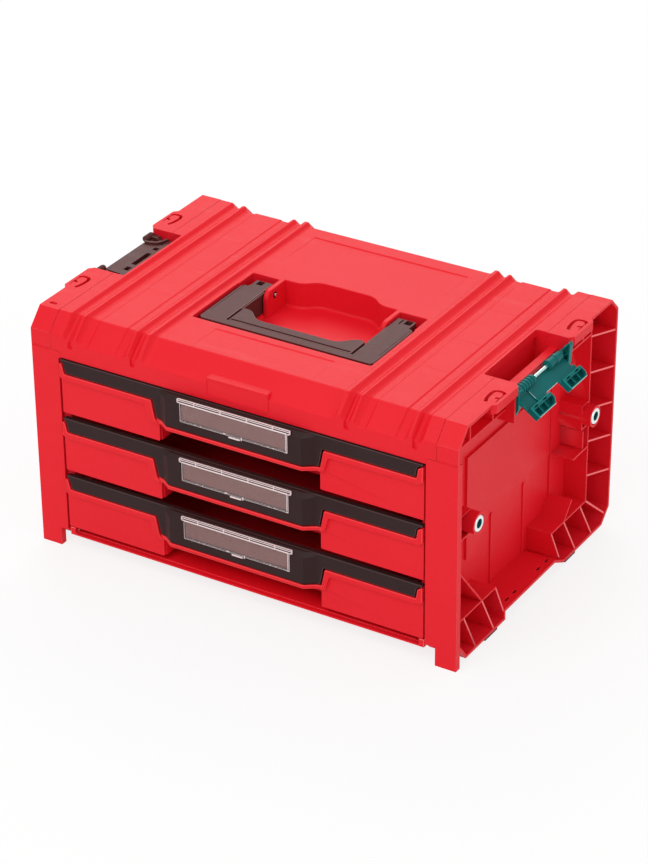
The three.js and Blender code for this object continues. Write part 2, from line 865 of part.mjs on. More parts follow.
const basePanel = join(
  box(
    -panelHalfWidth, panelHalfWidth, 0,
    rearFaceY(legHeight) - wall - 2 * touchGap, baseUnderZ, baseUnderZ + baseThickness,
  ),
  box(-frontHalf, frontHalf, 0, frontThickness, baseUnderZ, baseStripTop),
);
place('base_panel', basePanel, paint.red);

// Stacking lugs under the feet catch the flange of the box below

const lugInset = 4;
const lugWidth = 20;
const lugChamfer = 1.5;
const frontLugSetback = 37;
const frontLugLength = 23;
const rearLugSetback = 7.5;
const rearLugLength = 19;
const lugOuterX = halfWidth - lugInset;
const lugInnerX = lugOuterX - lugWidth;
const lugs = [
  ['front', frontFootStart + frontLugSetback, frontLugLength],
  ['rear', rearFootStart + rearLugSetback, rearLugLength],
];

for (const [row, start, length] of lugs) {
  const end = start + length;
  const lug = prism('x', [
    [start, footLevel - touchGap],
    [start, lugChamfer],
    [start + lugChamfer, 0],
    [end - lugChamfer, 0],
    [end, lugChamfer],
    [end, footLevel - touchGap],
  ], lugInnerX, lugOuterX);
  placePair(`stacking_lug_${row}`, lug, paint.dark);
}

// Drawer runners: a strip on each inner wall that the rim of a tray slides on

const levels = ['top', 'middle', 'bottom'];
const runnerFrontY = 12;
const runnerRearY = rearFaceY(legHeight) - 2 * wall;

function trayRimZ(level) {
  return drawerTop - level * drawerPitch - trayTopDrop;
}

for (let level = 0; level < drawerCount; level += 1) {
  const top = trayRimZ(level) - runnerRimThickness - touchGap;
  const runner = box(
    runnerInnerX, runnerInnerX + runnerWidth, runnerFrontY, runnerRearY,
    top - runnerHeight, top,
  );
  placePair(`drawer_runner_${levels[level]}`, runner, paint.red);
}

// Drawers: a red tray with its front, a dark front trim with the pull bar, a label card and
// a clear flap that covers it

const panelGapTop = 6.3;
const panelGapLow = 1.8;
const endLipTop = 3;
const endLipInner = 6.3;
const endLipFoot = 9.5;
const fieldBorder = 6;
const fieldDepth = 1.8;
const frontRearDrop = 3;
const barChamfer = 4.4;
const cardHalf = 54.5;
const cardHeight = 15.8;
const cardDrop = 5.1;
const cardThickness = 0.5;
const cardRecess = 1;
const cardMargin = 0.6;
const flapHalf = 60;
const flapThickness = 1.1;
const flapDrop = 23.4;
const flapRail = 1.2;
const flapAxisDrop = 2.4;
const flapAxisDepth = 0.15;
const flapTabHalf = 7;
const flapTabDrop = 2;
const flapEarWidth = 2.4;
const flapEarReach = 1.4;
const panelInnerTop = barRootHalf + panelGapTop;
const panelInnerLow = barRootHalf + panelGapLow;

const barPlan = [
  [-barRootHalf, frontThickness],
  [-barRootHalf, 0],
  [-barHalf, -barDepth],
  [barHalf, -barDepth],
  [barRootHalf, 0],
  [barRootHalf, frontThickness],
];

// The lip under the bar runs on into the panels at both ends
const lipPlan = [
  [-panelInnerLow, frontThickness],
  [-panelInnerLow, 0],
  ...barPlan.slice(1, -1),
  [panelInnerLow, 0],
  [panelInnerLow, frontThickness],
];

function tray(level) {
  const top = drawerTop - level * drawerPitch;
  const bottom = top - frontHeight;
  const rim = top - trayTopDrop;
  const panelTop = top - stripHeight - touchGap;
  const lipTop = top - barHeight - touchGap;
  const lipUnder = lipTop - lipHeight;
  const shell = cut(
    box(-trayHalf, trayHalf, frontThickness, trayRear, bottom, rim),
    box(
      -trayHalf + trayWall, trayHalf - trayWall, frontThickness + trayWall, trayRear - trayWall,
      bottom + trayWall, rim + overrun,
    ),
  );
  const frontWall = box(
    -trayHalf, trayHalf, frontThickness - touchGap, frontThickness + trayWall,
    bottom, top - frontRearDrop,
  );
  const slideRims = [-1, 1].map((side) => box(
    Math.min(side * (trayHalf - trayWall), side * (wallInnerX - 2 * touchGap)),
    Math.max(side * (trayHalf - trayWall), side * (wallInnerX - 2 * touchGap)),
    frontThickness + trayWall, trayRear, rim - runnerRimThickness, rim,
  ));
  const panels = [-1, 1].map((side) => {
    const outline = [
      [frontHalf, bottom],
      [frontHalf, top - endLipTop],
      [frontHalf - endLipInner, top - endLipTop],
      [frontHalf - endLipFoot, panelTop],
      [panelInnerTop, panelTop],
      [panelInnerLow, lipTop],
      [barRootHalf, lipUnder],
      [barRootHalf, bottom],
    ];
    const field = [
      [frontHalf + overrun, bottom - overrun],
      [frontHalf + overrun, panelTop - fieldBorder],
      [panelInnerTop + fieldBorder, panelTop - fieldBorder],
      [panelInnerLow + fieldBorder, lipUnder],
      [panelInnerLow + fieldBorder, bottom - overrun],
    ];
    const mirrored = (points) => points.map(([x, z]) => [side * x, z]);
    return cut(
      prism('y', mirrored(outline), 0, frontThickness),
      prism('y', mirrored(field), -overrun, fieldDepth),
    );
  });
  const lip = prism('z', lipPlan, lipUnder, lipTop);
  const fingerShell = box(
    -barRootHalf - trayWall, barRootHalf + trayWall, frontThickness,
    fingerDepth + trayWall, bottom, lipUnder + trayWall,
  );
  const fingerRoom = box(
    -barRootHalf, barRootHalf, -barDepth - overrun, fingerDepth, bottom - overrun, lipUnder,
  );
  return cut(
    join(shell, frontWall, ...slideRims, ...panels, lip, fingerShell),
    fingerRoom,
  );
}

function frontTrim(level) {
  const top = drawerTop - level * drawerPitch;
  const stripUnder = top - stripHeight;
  const barUnder = top - barHeight;
  const back = frontThickness - 2 * touchGap;
  const topEnd = frontHalf - endLipInner + endLipTop - touchGap;
  const footEnd = frontHalf - endLipFoot - touchGap;
  const stripOutline = [
    [topEnd - endLipTop, top],
    [footEnd, stripUnder],
    [panelInnerTop - touchGap, stripUnder],
    [panelInnerLow - touchGap, barUnder],
  ];
  const face = prism('y', [
    ...stripOutline,
    ...stripOutline.map(([x, z]) => [-x, z]).reverse(),
  ], 0, back);
  const barBody = prism('z', barPlan.map(([x, y]) => [x, Math.min(y, back)]), barUnder, top);
  const barEdge = prism('x', [
    [-barDepth - overrun, top - barChamfer - overrun],
    [-barDepth - overrun, top + overrun],
    [-barDepth + barChamfer + overrun, top + overrun],
  ], -halfWidth, halfWidth);
  const recess = box(
    -cardHalf - cardMargin, cardHalf + cardMargin, -barDepth - overrun, -barDepth + cardRecess,
    top - cardDrop - cardHeight - cardMargin, top - cardDrop + touchGap,
  );
  const ears = [-1, 1].map((side) => box(
    Math.min(side * (flapHalf + touchGap), side * (flapHalf + touchGap + flapEarWidth)),
    Math.max(side * (flapHalf + touchGap), side * (flapHalf + touchGap + flapEarWidth)),
    -barDepth - flapEarReach, -barDepth + barChamfer, top - barChamfer - overrun,
    top - flapAxisDrop + flapRail,
  ));
  return join(cut(join(face, barBody), barEdge, recess), ...ears);
}

function labelCard(level) {
  const top = drawerTop - level * drawerPitch - cardDrop;
  const back = -barDepth + cardRecess - touchGap;
  return box(-cardHalf, cardHalf, back - cardThickness, back, top - cardHeight, top);
}

function labelFlap(level) {
  const top = drawerTop - level * drawerPitch;
  const front = -barDepth - touchGap - flapThickness;
  const axis = [-barDepth - flapAxisDepth, top - flapAxisDrop];
  return join(
    box(-flapHalf, flapHalf, front, front + flapThickness, top - flapDrop, axis[1]),
    rod('x', axis, flapRail, -flapHalf, flapHalf),
    box(
      -flapTabHalf, flapTabHalf, front, front + flapThickness,
      top - flapDrop - flapTabDrop, top - flapDrop + flapTabDrop,
    ),
  );
}

for (let level = 0; level < drawerCount; level += 1) {
  place(`drawer_tray_${levels[level]}`, tray(level), paint.red);
  place(`drawer_front_trim_${levels[level]}`, frontTrim(level), paint.dark);
  place(`label_card_${levels[level]}`, labelCard(level), paint.card);
  place(`label_flap_${levels[level]}`, labelFlap(level), paint.clear);
}

// Carrying handle: a dark frame with a grip insert, hung on two steel pins in the lid's ears

const handleBarDepth = 7.5;
const handleRise = 5.5;
const handleThickness = 10;
const armRearInset = 5.5;
const armEndInset = 6.2;
const armChamfer = 3;
const gripShoulderWidth = 9;
const gripSlope = 16;
const gripSideGap = 2.5;
const gripDepth = 12;
const gripArmDepth = 25;
const gripThickness = 11.5;
const pinHeadRadius = 4;
const pinHeadLength = 1.4;
const pinReach = 16;
const handleTopZ = handlePivotZ + handleRise;
const armRearY = handlePivotY - armRearInset;
const armEndY = handlePivotY + armEndReach;
const armEndOuterX = handleHalf - armEndInset;
const gripOuterX = armInnerX - gripSideGap;
const gripShoulderX = gripOuterX - gripShoulderWidth;
const gripInnerX = gripShoulderX - gripSlope;

function handleFrame() {
  const plan = [
    [-handleHalf + armChamfer, handleFrontY],
    [handleHalf - armChamfer, handleFrontY],
    [handleHalf, handleFrontY + armChamfer],
    [handleHalf, armRearY - armChamfer],
    [handleHalf - armChamfer, armRearY],
    [armEndOuterX, armRearY],
    [armEndOuterX, armEndY],
    [armInnerX, armEndY],
    [armInnerX, handleFrontY + handleBarDepth],
    [-armInnerX, handleFrontY + handleBarDepth],
    [-armInnerX, armEndY],
    [-armEndOuterX, armEndY],
    [-armEndOuterX, armRearY],
    [-handleHalf + armChamfer, armRearY],
    [-handleHalf, armRearY - armChamfer],
    [-handleHalf, handleFrontY + armChamfer],
  ];
  const frame = prism('z', plan, handleTopZ - handleThickness, handleTopZ);
  const bores = [-1, 1].map((side) => rod(
    'x', [handlePivotY, handlePivotZ], handlePinRadius + touchGap,
    Math.min(side * (armInnerX - overrun), side * (earInnerX + pinReach + touchGap)),
    Math.max(side * (armInnerX - overrun), side * (earInnerX + pinReach + touchGap)),
  ));
  return cut(frame, ...bores);
}

function handleGrip() {
  const front = handleFrontY + handleBarDepth + touchGap;
  return prism('z', [
    [-gripOuterX, front],
    [gripOuterX, front],
    [gripOuterX, front + gripArmDepth],
    [gripShoulderX, front + gripArmDepth],
    [gripInnerX, front + gripDepth],
    [-gripInnerX, front + gripDepth],
    [-gripShoulderX, front + gripArmDepth],
    [-gripOuterX, front + gripArmDepth],
  ], handleTopZ - gripThickness, handleTopZ);
}

place('handle_frame', handleFrame(), paint.dark);
place('handle_grip', handleGrip(), paint.dark);
placePair('handle_pin', join(
  rod(
    'x', [handlePivotY, handlePivotZ], handlePinRadius,
    earInnerX - touchGap - pinHeadLength, earInnerX + pinReach,
  ),
  rod(
    'x', [handlePivotY, handlePivotZ], pinHeadRadius,
    earInnerX - touchGap - pinHeadLength, earInnerX - touchGap,
  ),
), paint.steel);

// Stacking latches: a bracket in each pocket, a steel pin through its cheeks and a lever
// that turns on the pin. The left lever is folded in, the right one hangs open.

const cheekThickness = 5.5;
const cheekInset = 1;
const cheekWidth = 13;
const cheekReach = 2;
const cheekHeight = 33;
const cheekRise = 6.9;
const cheekSlope = 6;
const bracketWeb = 2;
const bracketWebHeight = 17;
const pinEnd = 0.8;
const cheekOuterX = halfWidth + cheekReach;
const cheekInnerX = cheekOuterX - cheekWidth;
const cheekHighZ = latchPinZ + cheekRise;
const cheekLowZ = cheekHighZ - cheekHeight;

function latchBracket() {
  const cheek = [
    [cheekInnerX, cheekLowZ],
    [cheekOuterX - cheekSlope, cheekLowZ],
    [cheekOuterX, cheekLowZ + 2 * cheekSlope],
    [cheekOuterX, cheekHighZ - cheekSlope / 2],
    [cheekOuterX - cheekSlope / 2, cheekHighZ],
    [cheekInnerX + cheekSlope / 2, cheekHighZ],
    [cheekInnerX, cheekHighZ - cheekSlope / 2],
  ];
  const starts = [pocketStart + cheekInset, pocketEnd - cheekInset - cheekThickness];
  const cheeks = starts.map((y) => prism('y', cheek, y, y + cheekThickness));
  const web = box(
    cheekInnerX, cheekInnerX + bracketWeb, starts[0], starts[1] + cheekThickness,
    cheekLowZ, cheekLowZ + bracketWebHeight,
  );
  const bore = rod(
    'y', [latchPinX, latchPinZ], latchPinRadius + touchGap,
    pocketStart + cheekInset + pinEnd, pocketEnd - cheekInset - pinEnd,
  );
  return cut(join(...cheeks, web), bore);
}

const latchPin = rod(
  'y', [latchPinX, latchPinZ], latchPinRadius,
  pocketStart + cheekInset + pinEnd + touchGap, pocketEnd - cheekInset - pinEnd - touchGap,
);

for (const [side, material] of [['left', paint.dark], ['right', paint.teal]]) {
  place(`latch_bracket_${side}`, latchBracket(), material, side === 'left');
  place(`latch_pin_${side}`, latchPin, paint.steel, side === 'left');
}

const barrelRadius = 4.9;
const barrelInnerY = 15;
const barrelPlay = 0.8;
const leverTop = 4.9;
const leverSkin = 3.2;
const leverGapRoot = 7;
const leverNeck = 16;
const leverTip = 28.6;
const clawStart = 19.5;
const clawUnder = -4.6;
const clawInnerY = 13;
const clawEndY = 47;
const clawWall = 1.8;
const clawRibs = 2;
const clawTopWall = 2.4;
const cheekFaceY = (pocketEnd - pocketStart) / 2 - cheekInset - cheekThickness;

// The lever lies along +X from its pin, with its outer face up
function latchLever() {
  const barrelEnd = cheekFaceY - barrelPlay;
  const spans = [[-barrelEnd, -barrelInnerY], [barrelInnerY, barrelEnd]];
  const barrels = spans.map(([from, to]) => join(
    rod('y', [0, 0], barrelRadius, from, to, barrelSides),
    box(0, leverNeck, from, to, leverTop - leverSkin, leverTop),
  ));
  const plate = box(
    leverGapRoot, leverNeck + overrun, -barrelEnd, barrelEnd, leverTop - leverSkin, leverTop,
  );
  const bridge = box(
    leverNeck, clawStart + clawWall, -clawEndY, clawEndY, leverTop - leverSkin, leverTop,
  );
  const claws = [[-clawEndY, -clawInnerY], [clawInnerY, clawEndY]].map(([from, to]) => {
    const cells = clawRibs + 1;
    const cellLength = (to - from - (cells + 1) * clawWall) / cells;
    const hollows = Array.from({ length: cells }, (_, i) => {
      const start = from + clawWall + i * (cellLength + clawWall);
      return box(
        clawStart + clawWall, leverTip - clawWall, start, start + cellLength,
        clawUnder - overrun, leverTop - clawTopWall,
      );
    });
    return cut(box(clawStart, leverTip, from, to, clawUnder, leverTop), ...hollows);
  });
  const bore = rod(
    'y', [0, 0], latchPinRadius + touchGap, -barrelEnd - overrun, barrelEnd + overrun,
  );
  return cut(join(...barrels, plate, bridge, ...claws), bore);
}

const leftLever = place('latch_lever_left', latchLever(), paint.dark);
leftLever.position.set(-latchPinX, pocketMiddle, latchPinZ);

const rightLever = place('latch_lever_right', latchLever(), paint.teal);
rightLever.position.set(latchPinX, pocketMiddle, latchPinZ);
rightLever.rotation.order = 'YXZ';
rightLever.rotation.set(Math.PI, THREE.MathUtils.degToRad(latchOpenAngle), 0);

// The origin is below the middle of the toolbox, on the surface it stands on
const extent = new THREE.Box3().setFromObject(toolbox);
const middle = extent.getCenter(new THREE.Vector3());
toolbox.position.set(-middle.x, -middle.y, -extent.min.z);

export default toolbox;
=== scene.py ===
"""A stackable toolbox with three drawers, dressed round its CAD frame.

Lengths of shapes are millimetres from the foot of the case's front, in its middle, and are
turned into the frame's metres when a mesh is made.
"""

import math

import bmesh
import bpy
import numpy as np
from mathutils import Matrix, Vector


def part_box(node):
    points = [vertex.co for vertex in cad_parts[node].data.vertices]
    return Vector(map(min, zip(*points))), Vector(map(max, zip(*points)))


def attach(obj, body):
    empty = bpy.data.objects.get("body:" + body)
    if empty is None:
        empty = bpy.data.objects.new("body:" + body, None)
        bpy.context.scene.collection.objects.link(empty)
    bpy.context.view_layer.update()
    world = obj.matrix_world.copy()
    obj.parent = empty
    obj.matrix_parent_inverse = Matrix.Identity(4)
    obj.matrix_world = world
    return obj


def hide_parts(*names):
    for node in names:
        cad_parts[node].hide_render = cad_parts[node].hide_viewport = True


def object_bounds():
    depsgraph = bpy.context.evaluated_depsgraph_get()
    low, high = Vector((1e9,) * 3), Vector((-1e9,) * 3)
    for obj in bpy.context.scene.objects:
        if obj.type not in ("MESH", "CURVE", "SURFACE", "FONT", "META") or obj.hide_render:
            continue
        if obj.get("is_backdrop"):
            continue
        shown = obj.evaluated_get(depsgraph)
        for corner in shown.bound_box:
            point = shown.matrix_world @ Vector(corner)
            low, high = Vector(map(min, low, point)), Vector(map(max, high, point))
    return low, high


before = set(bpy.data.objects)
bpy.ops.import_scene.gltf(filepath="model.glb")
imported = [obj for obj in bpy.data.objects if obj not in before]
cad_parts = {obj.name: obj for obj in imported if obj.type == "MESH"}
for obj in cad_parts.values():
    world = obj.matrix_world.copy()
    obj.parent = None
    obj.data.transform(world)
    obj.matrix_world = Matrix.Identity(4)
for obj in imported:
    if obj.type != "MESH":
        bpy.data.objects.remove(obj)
cad_low, cad_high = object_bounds()


# Camera, floor and light
# The toolbox stands on a pale floor in soft studio light, seen from its front right and
# from above through a long lens.

view_azimuth, view_elevation, view_roll = np.radians((31.69, 29.5, -0.65))
view_distance = 2.93554
view_target = Vector((-0.008404, -0.001199, 0.110758))
photo_height = 864
focal_pixels = 3131.09
sensor = 36.0

back = Vector((
    math.sin(view_azimuth) * math.cos(view_elevation),
    -math.cos(view_azimuth) * math.cos(view_elevation),
    math.sin(view_elevation),
))
level = (-back).cross(Vector((0, 0, 1))).normalized()
upright = level.cross(-back)
right = level * math.cos(view_roll) + upright * math.sin(view_roll)
above = upright * math.cos(view_roll) - level * math.sin(view_roll)


def placed(name, data):
    """A new object in the scene."""
    thing = bpy.data.objects.new(name, data)
    bpy.context.scene.collection.objects.link(thing)
    return thing


camera = placed("camera", bpy.data.cameras.new("camera"))
camera.data.sensor_width = sensor
camera.data.lens = focal_pixels / photo_height * sensor
camera.data.clip_end = 50
camera.matrix_world = Matrix.Translation(view_target + back * view_distance) @ Matrix(
    (right, above, back)
).transposed().to_4x4()
bpy.context.scene.camera = camera
bpy.context.scene.view_settings.view_transform = "Standard"


class Wire:
    """One output in a tree of nodes. Sums, differences and products add Math nodes."""

    def __init__(self, nodes, socket):
        self.nodes, self.socket = nodes, socket

    def _math(self, operation, *values):
        return self.nodes.node("Math", {"operation": operation}, dict(enumerate(values)))

    def __add__(self, other):
        return self._math("ADD", self, other)

    def __sub__(self, other):
        return self._math("SUBTRACT", self, other)

    def __rsub__(self, other):
        return self._math("SUBTRACT", other, self)

    def __mul__(self, other):
        return self._math("MULTIPLY", self, other)

    def above(self, level, softness):
        """1 where the value is over the level, 0 under it, with a soft step between."""
        settings = {"interpolation_type": "SMOOTHSTEP"}
        ends = {0: self, 1: level - softness, 2: level + softness}
        return self.nodes.node("MapRange", settings, ends)

    __radd__ = __add__
    __rmul__ = __mul__


class Nodes:
    """A tree of shader nodes round one surface. Sockets take numbers, colours or wires."""

    def __init__(self, tree, surface):
        self.tree, self.surface = tree, tree.nodes[surface]

    def set(self, **sockets):
        """Fills sockets of the surface; a name's underscores stand for spaces."""
        for name, value in sockets.items():
            self.fill(self.surface.inputs[name.replace("_", " ")], value)

    def fill(self, socket, value):
        """Links a wire to a socket, or writes a number or a colour on it."""
        if isinstance(value, Wire):
            self.tree.links.new(value.socket, socket)
        elif hasattr(value, "__len__") and len(value) == 3 and socket.type == "RGBA":
            socket.default_value = (*value, 1)
        else:
            socket.default_value = value

    def node(self, kind, settings=None, sockets=None, output=0):
        """Adds a node, sets it, fills its sockets by name or number and gives an output."""
        added = self.tree.nodes.new("ShaderNode" + kind)
        for name, value in (settings or {}).items():
            setattr(added, name, value)
        for name, value in (sockets or {}).items():
            self.fill(added.inputs[name], value)
        return Wire(self, added.outputs[output])

    def ray(self, kind):
        """1 where a ray of that kind meets the surface, or else 0."""
        return self.node("LightPath", output=f"Is {kind} Ray")

    def overlay(self, share, shader, end):
        """Shows another shader in place of the surface, by its share."""
        own = Wire(self, self.surface.outputs[0])
        mixed = self.node("MixShader", {}, {0: share, 1: own, 2: shader})
        self.fill(self.tree.nodes[end].inputs["Surface"], mixed)


class Finish(Nodes):
    """A procedural material of its own name."""

    def __init__(self, name, **sockets):
        self.material = bpy.data.materials.new(name)
        self.material.use_nodes = True
        super().__init__(self.material.node_tree, "Principled BSDF")
        self.set(**sockets)

    def noise(self, size, detail, stretch=(1, 1, 1)):
        """Cloudy values round 0.5 on the piece's own places, stretched along each axis. Their
        blots are about size across, in metres."""
        at = self.node("TexCoord", output="Object")
        at = self.node("Mapping", {}, {"Vector": at, "Scale": stretch})
        return self.node("TexNoise", {}, {"Vector": at, "Scale": 1 / size, "Detail": detail})

    def blend(self, share, first, second):
        """The first colour where the share is 0, the second where it is 1."""
        return self.node("Mix", {"data_type": "RGBA"}, {0: share, 6: first, 7: second}, output=2)

    def bumps(self, height, distance):
        """Bumps of the given height map, whose full height is the distance in metres."""
        return self.node("Bump", {}, {"Height": height, "Distance": distance})


floor_reach, floor_white, floor_glow = 9.0, 0.9, 0.82
sky_strength, sky_white = 0.68, 0.8
lamp_size = 1.6

floor_mesh = bpy.data.meshes.new("floor")
corners = np.array([(-1, -1, 0), (1, -1, 0), (1, 1, 0), (-1, 1, 0)]) * floor_reach
floor_mesh.from_pydata(corners.tolist(), [], [(0, 1, 2, 3)])
placed("floor", floor_mesh)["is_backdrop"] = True

# The floor keeps the shadow, and shows white to the camera and in reflections
paper = Finish("floor_paper", Base_Color=[floor_white] * 3, Roughness=0.9)
glow = paper.node("Emission", {}, {"Color": (1, 1, 1), "Strength": 1.0})
paper.overlay((paper.ray("Camera") + paper.ray("Glossy")) * floor_glow, glow, "Material Output")
floor_mesh.materials.append(paper.material)

studio = bpy.data.worlds.new("studio")
studio.use_nodes = True
bpy.context.scene.world = studio
sky = Nodes(studio.node_tree, "Background")
sky.set(Color=(1, 1, 1), Strength=sky_strength)
seen = sky.ray("Camera") + sky.ray("Glossy") + sky.ray("Transmission")
pale = sky.node("Background", {}, {"Color": [sky_white] * 3, "Strength": 1.0})
sky.overlay(seen, pale, "World Output")


def soft_lamp(name, place, power):
    """A square lamp at a place, in metres, turned to the middle of the toolbox."""
    lamp = bpy.data.lights.new(name, "AREA")
    lamp.energy, lamp.size = power, lamp_size
    stand = placed(name, lamp)
    stand.location = place
    stand.rotation_euler = (Vector(place) - view_target).to_track_quat("Z", "Y").to_euler()


soft_lamp("key", (-0.2, -1.9, 2.3), 27)
soft_lamp("top", (-0.9, 1.5, 1.7), 17)
soft_lamp("side", (2.3, -0.5, 1.0), 7)


# Side frames
# Each is one deep red moulding with a post, ribs, feet and the latch pocket. Its edges are rounded
# where the mould's halves meet, and the rounded faces take a paler red as a painted highlight.

MM = 0.001
lid_low, lid_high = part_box("top_cover")
case_foot = np.array([(lid_low.x + lid_high.x) / 2, lid_low.y, 0.0])
sign_of = {"left": -1, "right": 1}
skin_join = 4e-6
flat_turn = math.radians(0.6)
edge_turn = math.radians(28)
edge_segments = 2


def moulding(name, colour, highlight_colour, roughness, highlight_roughness, shine, tint=(1, 1, 1)):
    """Fine-grained plastic: two materials, one for faces and a paler, glossier one that paints a
    highlight on rounded edges. Clouds and dust mottle the colour, dust and scuffs the gloss, and
    pits the skin."""
    pair = []
    parts = (("face", colour, roughness), ("edge", highlight_colour, highlight_roughness))
    # The second, paler colour and its glossier roughness are a highlight painted on rounded edges
    for part, paint, polish in parts:
        finish = Finish(f"{name}_{part}", Specular_IOR_Level=shine, Specular_Tint=tint)
        cloud = finish.noise(0.09, 3)
        dust = finish.noise(0.0045, 4)
        pits = finish.noise(0.0007, 2)
        scuff = finish.noise(0.012, 3, (0.16, 1, 1)).above(0.64, 0.05)
        paler = [0.98 * c + 0.012 for c in paint]
        deeper = [0.95 * c for c in paint]
        finish.set(
            Base_Color=finish.blend(cloud * 0.7 + dust * 0.3, deeper, paler),
            Roughness=polish + (dust - 0.5) * 0.16 - scuff * 0.06,
            Normal=finish.bumps(pits, 0.00006),
        )
        pair.append(finish.material)
    return pair


# The second red, paler and pinker, is a highlight painted on rounded edges
red_colour, red_shine, red_tint = (0.81, 0.005, 0.018), 0.17, (1, 0.97, 0.84)
red = moulding("red", red_colour, (1.0, 0.17, 0.18), 0.45, 0.36, red_shine, red_tint)


def grid_faces(rows, columns, start=0, closed=False):
    """Four-sided faces between neighbouring rows and columns of a grid of points."""
    row = np.arange(rows - 1)[:, None] * columns
    column = np.arange(columns if closed else columns - 1)
    beside = (column + 1) % columns
    corners = (row + column, row + beside, row + columns + beside, row + columns + column)
    return (np.stack(corners, -1).reshape(-1, 4) + start).tolist()


def meshed(name, points, faces, materials):
    """A piece whose points are millimetres from the foot of the case's front."""
    mesh = bpy.data.meshes.new(name)
    place = (np.asarray(points, float).reshape(-1, 3) * MM + case_foot).tolist()
    mesh.from_pydata(place, [], faces)
    for material in materials:
        mesh.materials.append(material)
    return placed(name, mesh)


def loft(name, rings, materials=(), highlight_bands=0):
    """A closed solid through rings of equally many points, capped at both ends. The bands nearest
    the first and the last rings, as many at each end as given, take the second material, a
    highlight painted on the rounded ends."""
    rings = np.asarray(rings, float)
    rows, columns = rings.shape[:2]
    faces = grid_faces(rows, columns, closed=True)
    faces += [list(range(columns))[::-1], list(range((rows - 1) * columns, rows * columns))]
    piece = meshed(name, rings, faces, materials)
    if highlight_bands and len(materials) > 1:
        bands = np.zeros(len(faces), int)
        bands[:highlight_bands * columns] = bands[-2 - highlight_bands * columns:-2] = 1
        piece.data.polygons.foreach_set("material_index", bands)
    outward = bmesh.new()
    outward.from_mesh(piece.data)
    bmesh.ops.recalc_face_normals(outward, faces=outward.faces)
    outward.to_mesh(piece.data)
    outward.free()
    return piece


def slab(name, outline, low, high, edge=0.0, axis="z", materials=()):
    """An outline carried along an axis from low to high. At both ends it is drawn in over the
    edge's length on a quarter circle: in by edge(1 - sin a) at edge(1 - cos a) from the end.
    The outline holds (y, z) along x, (x, z) along y and (x, y) along z."""
    turn = np.radians(np.linspace(0, 90, 4)) if edge else np.array([math.pi / 2])
    ends = [(edge * (1 - math.sin(a)), edge * (1 - math.cos(a))) for a in turn]
    levels = [(-inwards, low + along) for inwards, along in ends]
    levels += [(-inwards, high - along) for inwards, along in ends[::-1]]
    place = {"x": (2, 0, 1), "y": (0, 2, 1), "z": (0, 1, 2)}[axis]
    rings = []
    for out, at in levels:
        ring = grown(outline, out) if out else outline
        rings.append(np.column_stack((ring, np.full(len(ring), at)))[:, place])
    return loft(name, rings, materials, len(turn) - 1)


def rounded(corners, cuts, steps=6):
    """A closed outline whose corners are arcs that leave its edges at each cut's length from
    the corner: ((1-t)(1-t) from + 2wt(1-t) corner + tt to) / ((1-t)(1-t) + 2wt(1-t) + tt),
    where w is the cosine of half the turn."""
    corners = np.asarray(corners, float)
    before = corners - np.roll(corners, 1, 0)
    ahead = np.roll(corners, -1, 0) - corners
    before /= np.linalg.norm(before, axis=1, keepdims=True)
    ahead /= np.linalg.norm(ahead, axis=1, keepdims=True)
    cut = np.broadcast_to(np.asarray(cuts, float), len(corners))[:, None]
    w = np.sqrt((1 + (before * ahead).sum(1, keepdims=True)) / 2)
    t = np.linspace(0, 1, steps + 1)[:, None, None]
    curves = (1 - t) ** 2 * (corners - cut * before)
    curves = curves + 2 * w * t * (1 - t) * corners + t ** 2 * (corners + cut * ahead)
    curves /= (1 - t) ** 2 + 2 * w * t * (1 - t) + t ** 2
    return curves.transpose(1, 0, 2).reshape(-1, 2)


def grown(outline, distance):
    """An outline that runs anticlockwise, moved outwards along the mean of its two edges'
    normals at each point."""
    edge = np.roll(outline, -1, 0) - outline
    normal = np.stack((edge[:, 1], -edge[:, 0]), -1)
    normal /= np.maximum(np.linalg.norm(normal, axis=1, keepdims=True), 1e-9)
    mean = normal + np.roll(normal, 1, 0)
    mean /= np.maximum((mean * normal).sum(1, keepdims=True), 0.2)
    return outline + distance * mean


def settle(piece, change):
    """Works a modifier into the piece's mesh and drops it."""
    ready = piece.evaluated_get(bpy.context.evaluated_depsgraph_get())
    mesh = bpy.data.meshes.new_from_object(ready)
    piece.modifiers.remove(change)
    spent, name = piece.data, piece.data.name
    piece.data = mesh
    bpy.data.meshes.remove(spent)
    mesh.name = name


def carve(piece, tool, operation="DIFFERENCE"):
    """Cuts a solid away from a piece, or joins it, and drops the solid."""
    change = piece.modifiers.new("carve", "BOOLEAN")
    change.operation, change.solver, change.object = operation, "MANIFOLD", tool
    settle(piece, change)
    bpy.data.meshes.remove(tool.data)


def join(piece, *solids):
    """Joins solids to a piece, one after the other."""
    for solid in solids:
        carve(piece, solid, "UNION")


def oblong(low_x, high_x, low_y, high_y):
    """The corners of a rectangle, anticlockwise."""
    return [(low_x, low_y), (high_x, low_y), (high_x, high_y), (low_x, high_y)]


def eased_oblong(low_x, high_x, low_y, high_y, radius=0.4):
    """A rectangle's outline with rounded corners."""
    return rounded(oblong(low_x, high_x, low_y, high_y), radius, 3)


def tidy(piece, turn=32):
    """Smooth light over a carved piece, broken where its faces turn by more than the turn."""
    piece.data.shade_smooth()
    piece.data.set_sharp_from_angle(angle=math.radians(turn))
    even = piece.modifiers.new("even_light", "WEIGHTED_NORMAL")
    even.keep_sharp = True


def crate(name, low, high, edge, materials=red):
    """A block between two corners with rounded edges."""
    outline = eased_oblong(low[0], high[0], low[1], high[1], 1.3 * edge)
    return slab(name, outline, low[2], high[2], edge, "z", materials)


def span(sign, near, far):
    """The span between two distances from the middle, on the side that the sign gives."""
    return sorted((sign * near, sign * far))


def shown(piece, body, slot, *nodes):
    """Puts a piece on its body in place of CAD nodes."""
    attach(piece, body)
    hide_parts(*nodes)


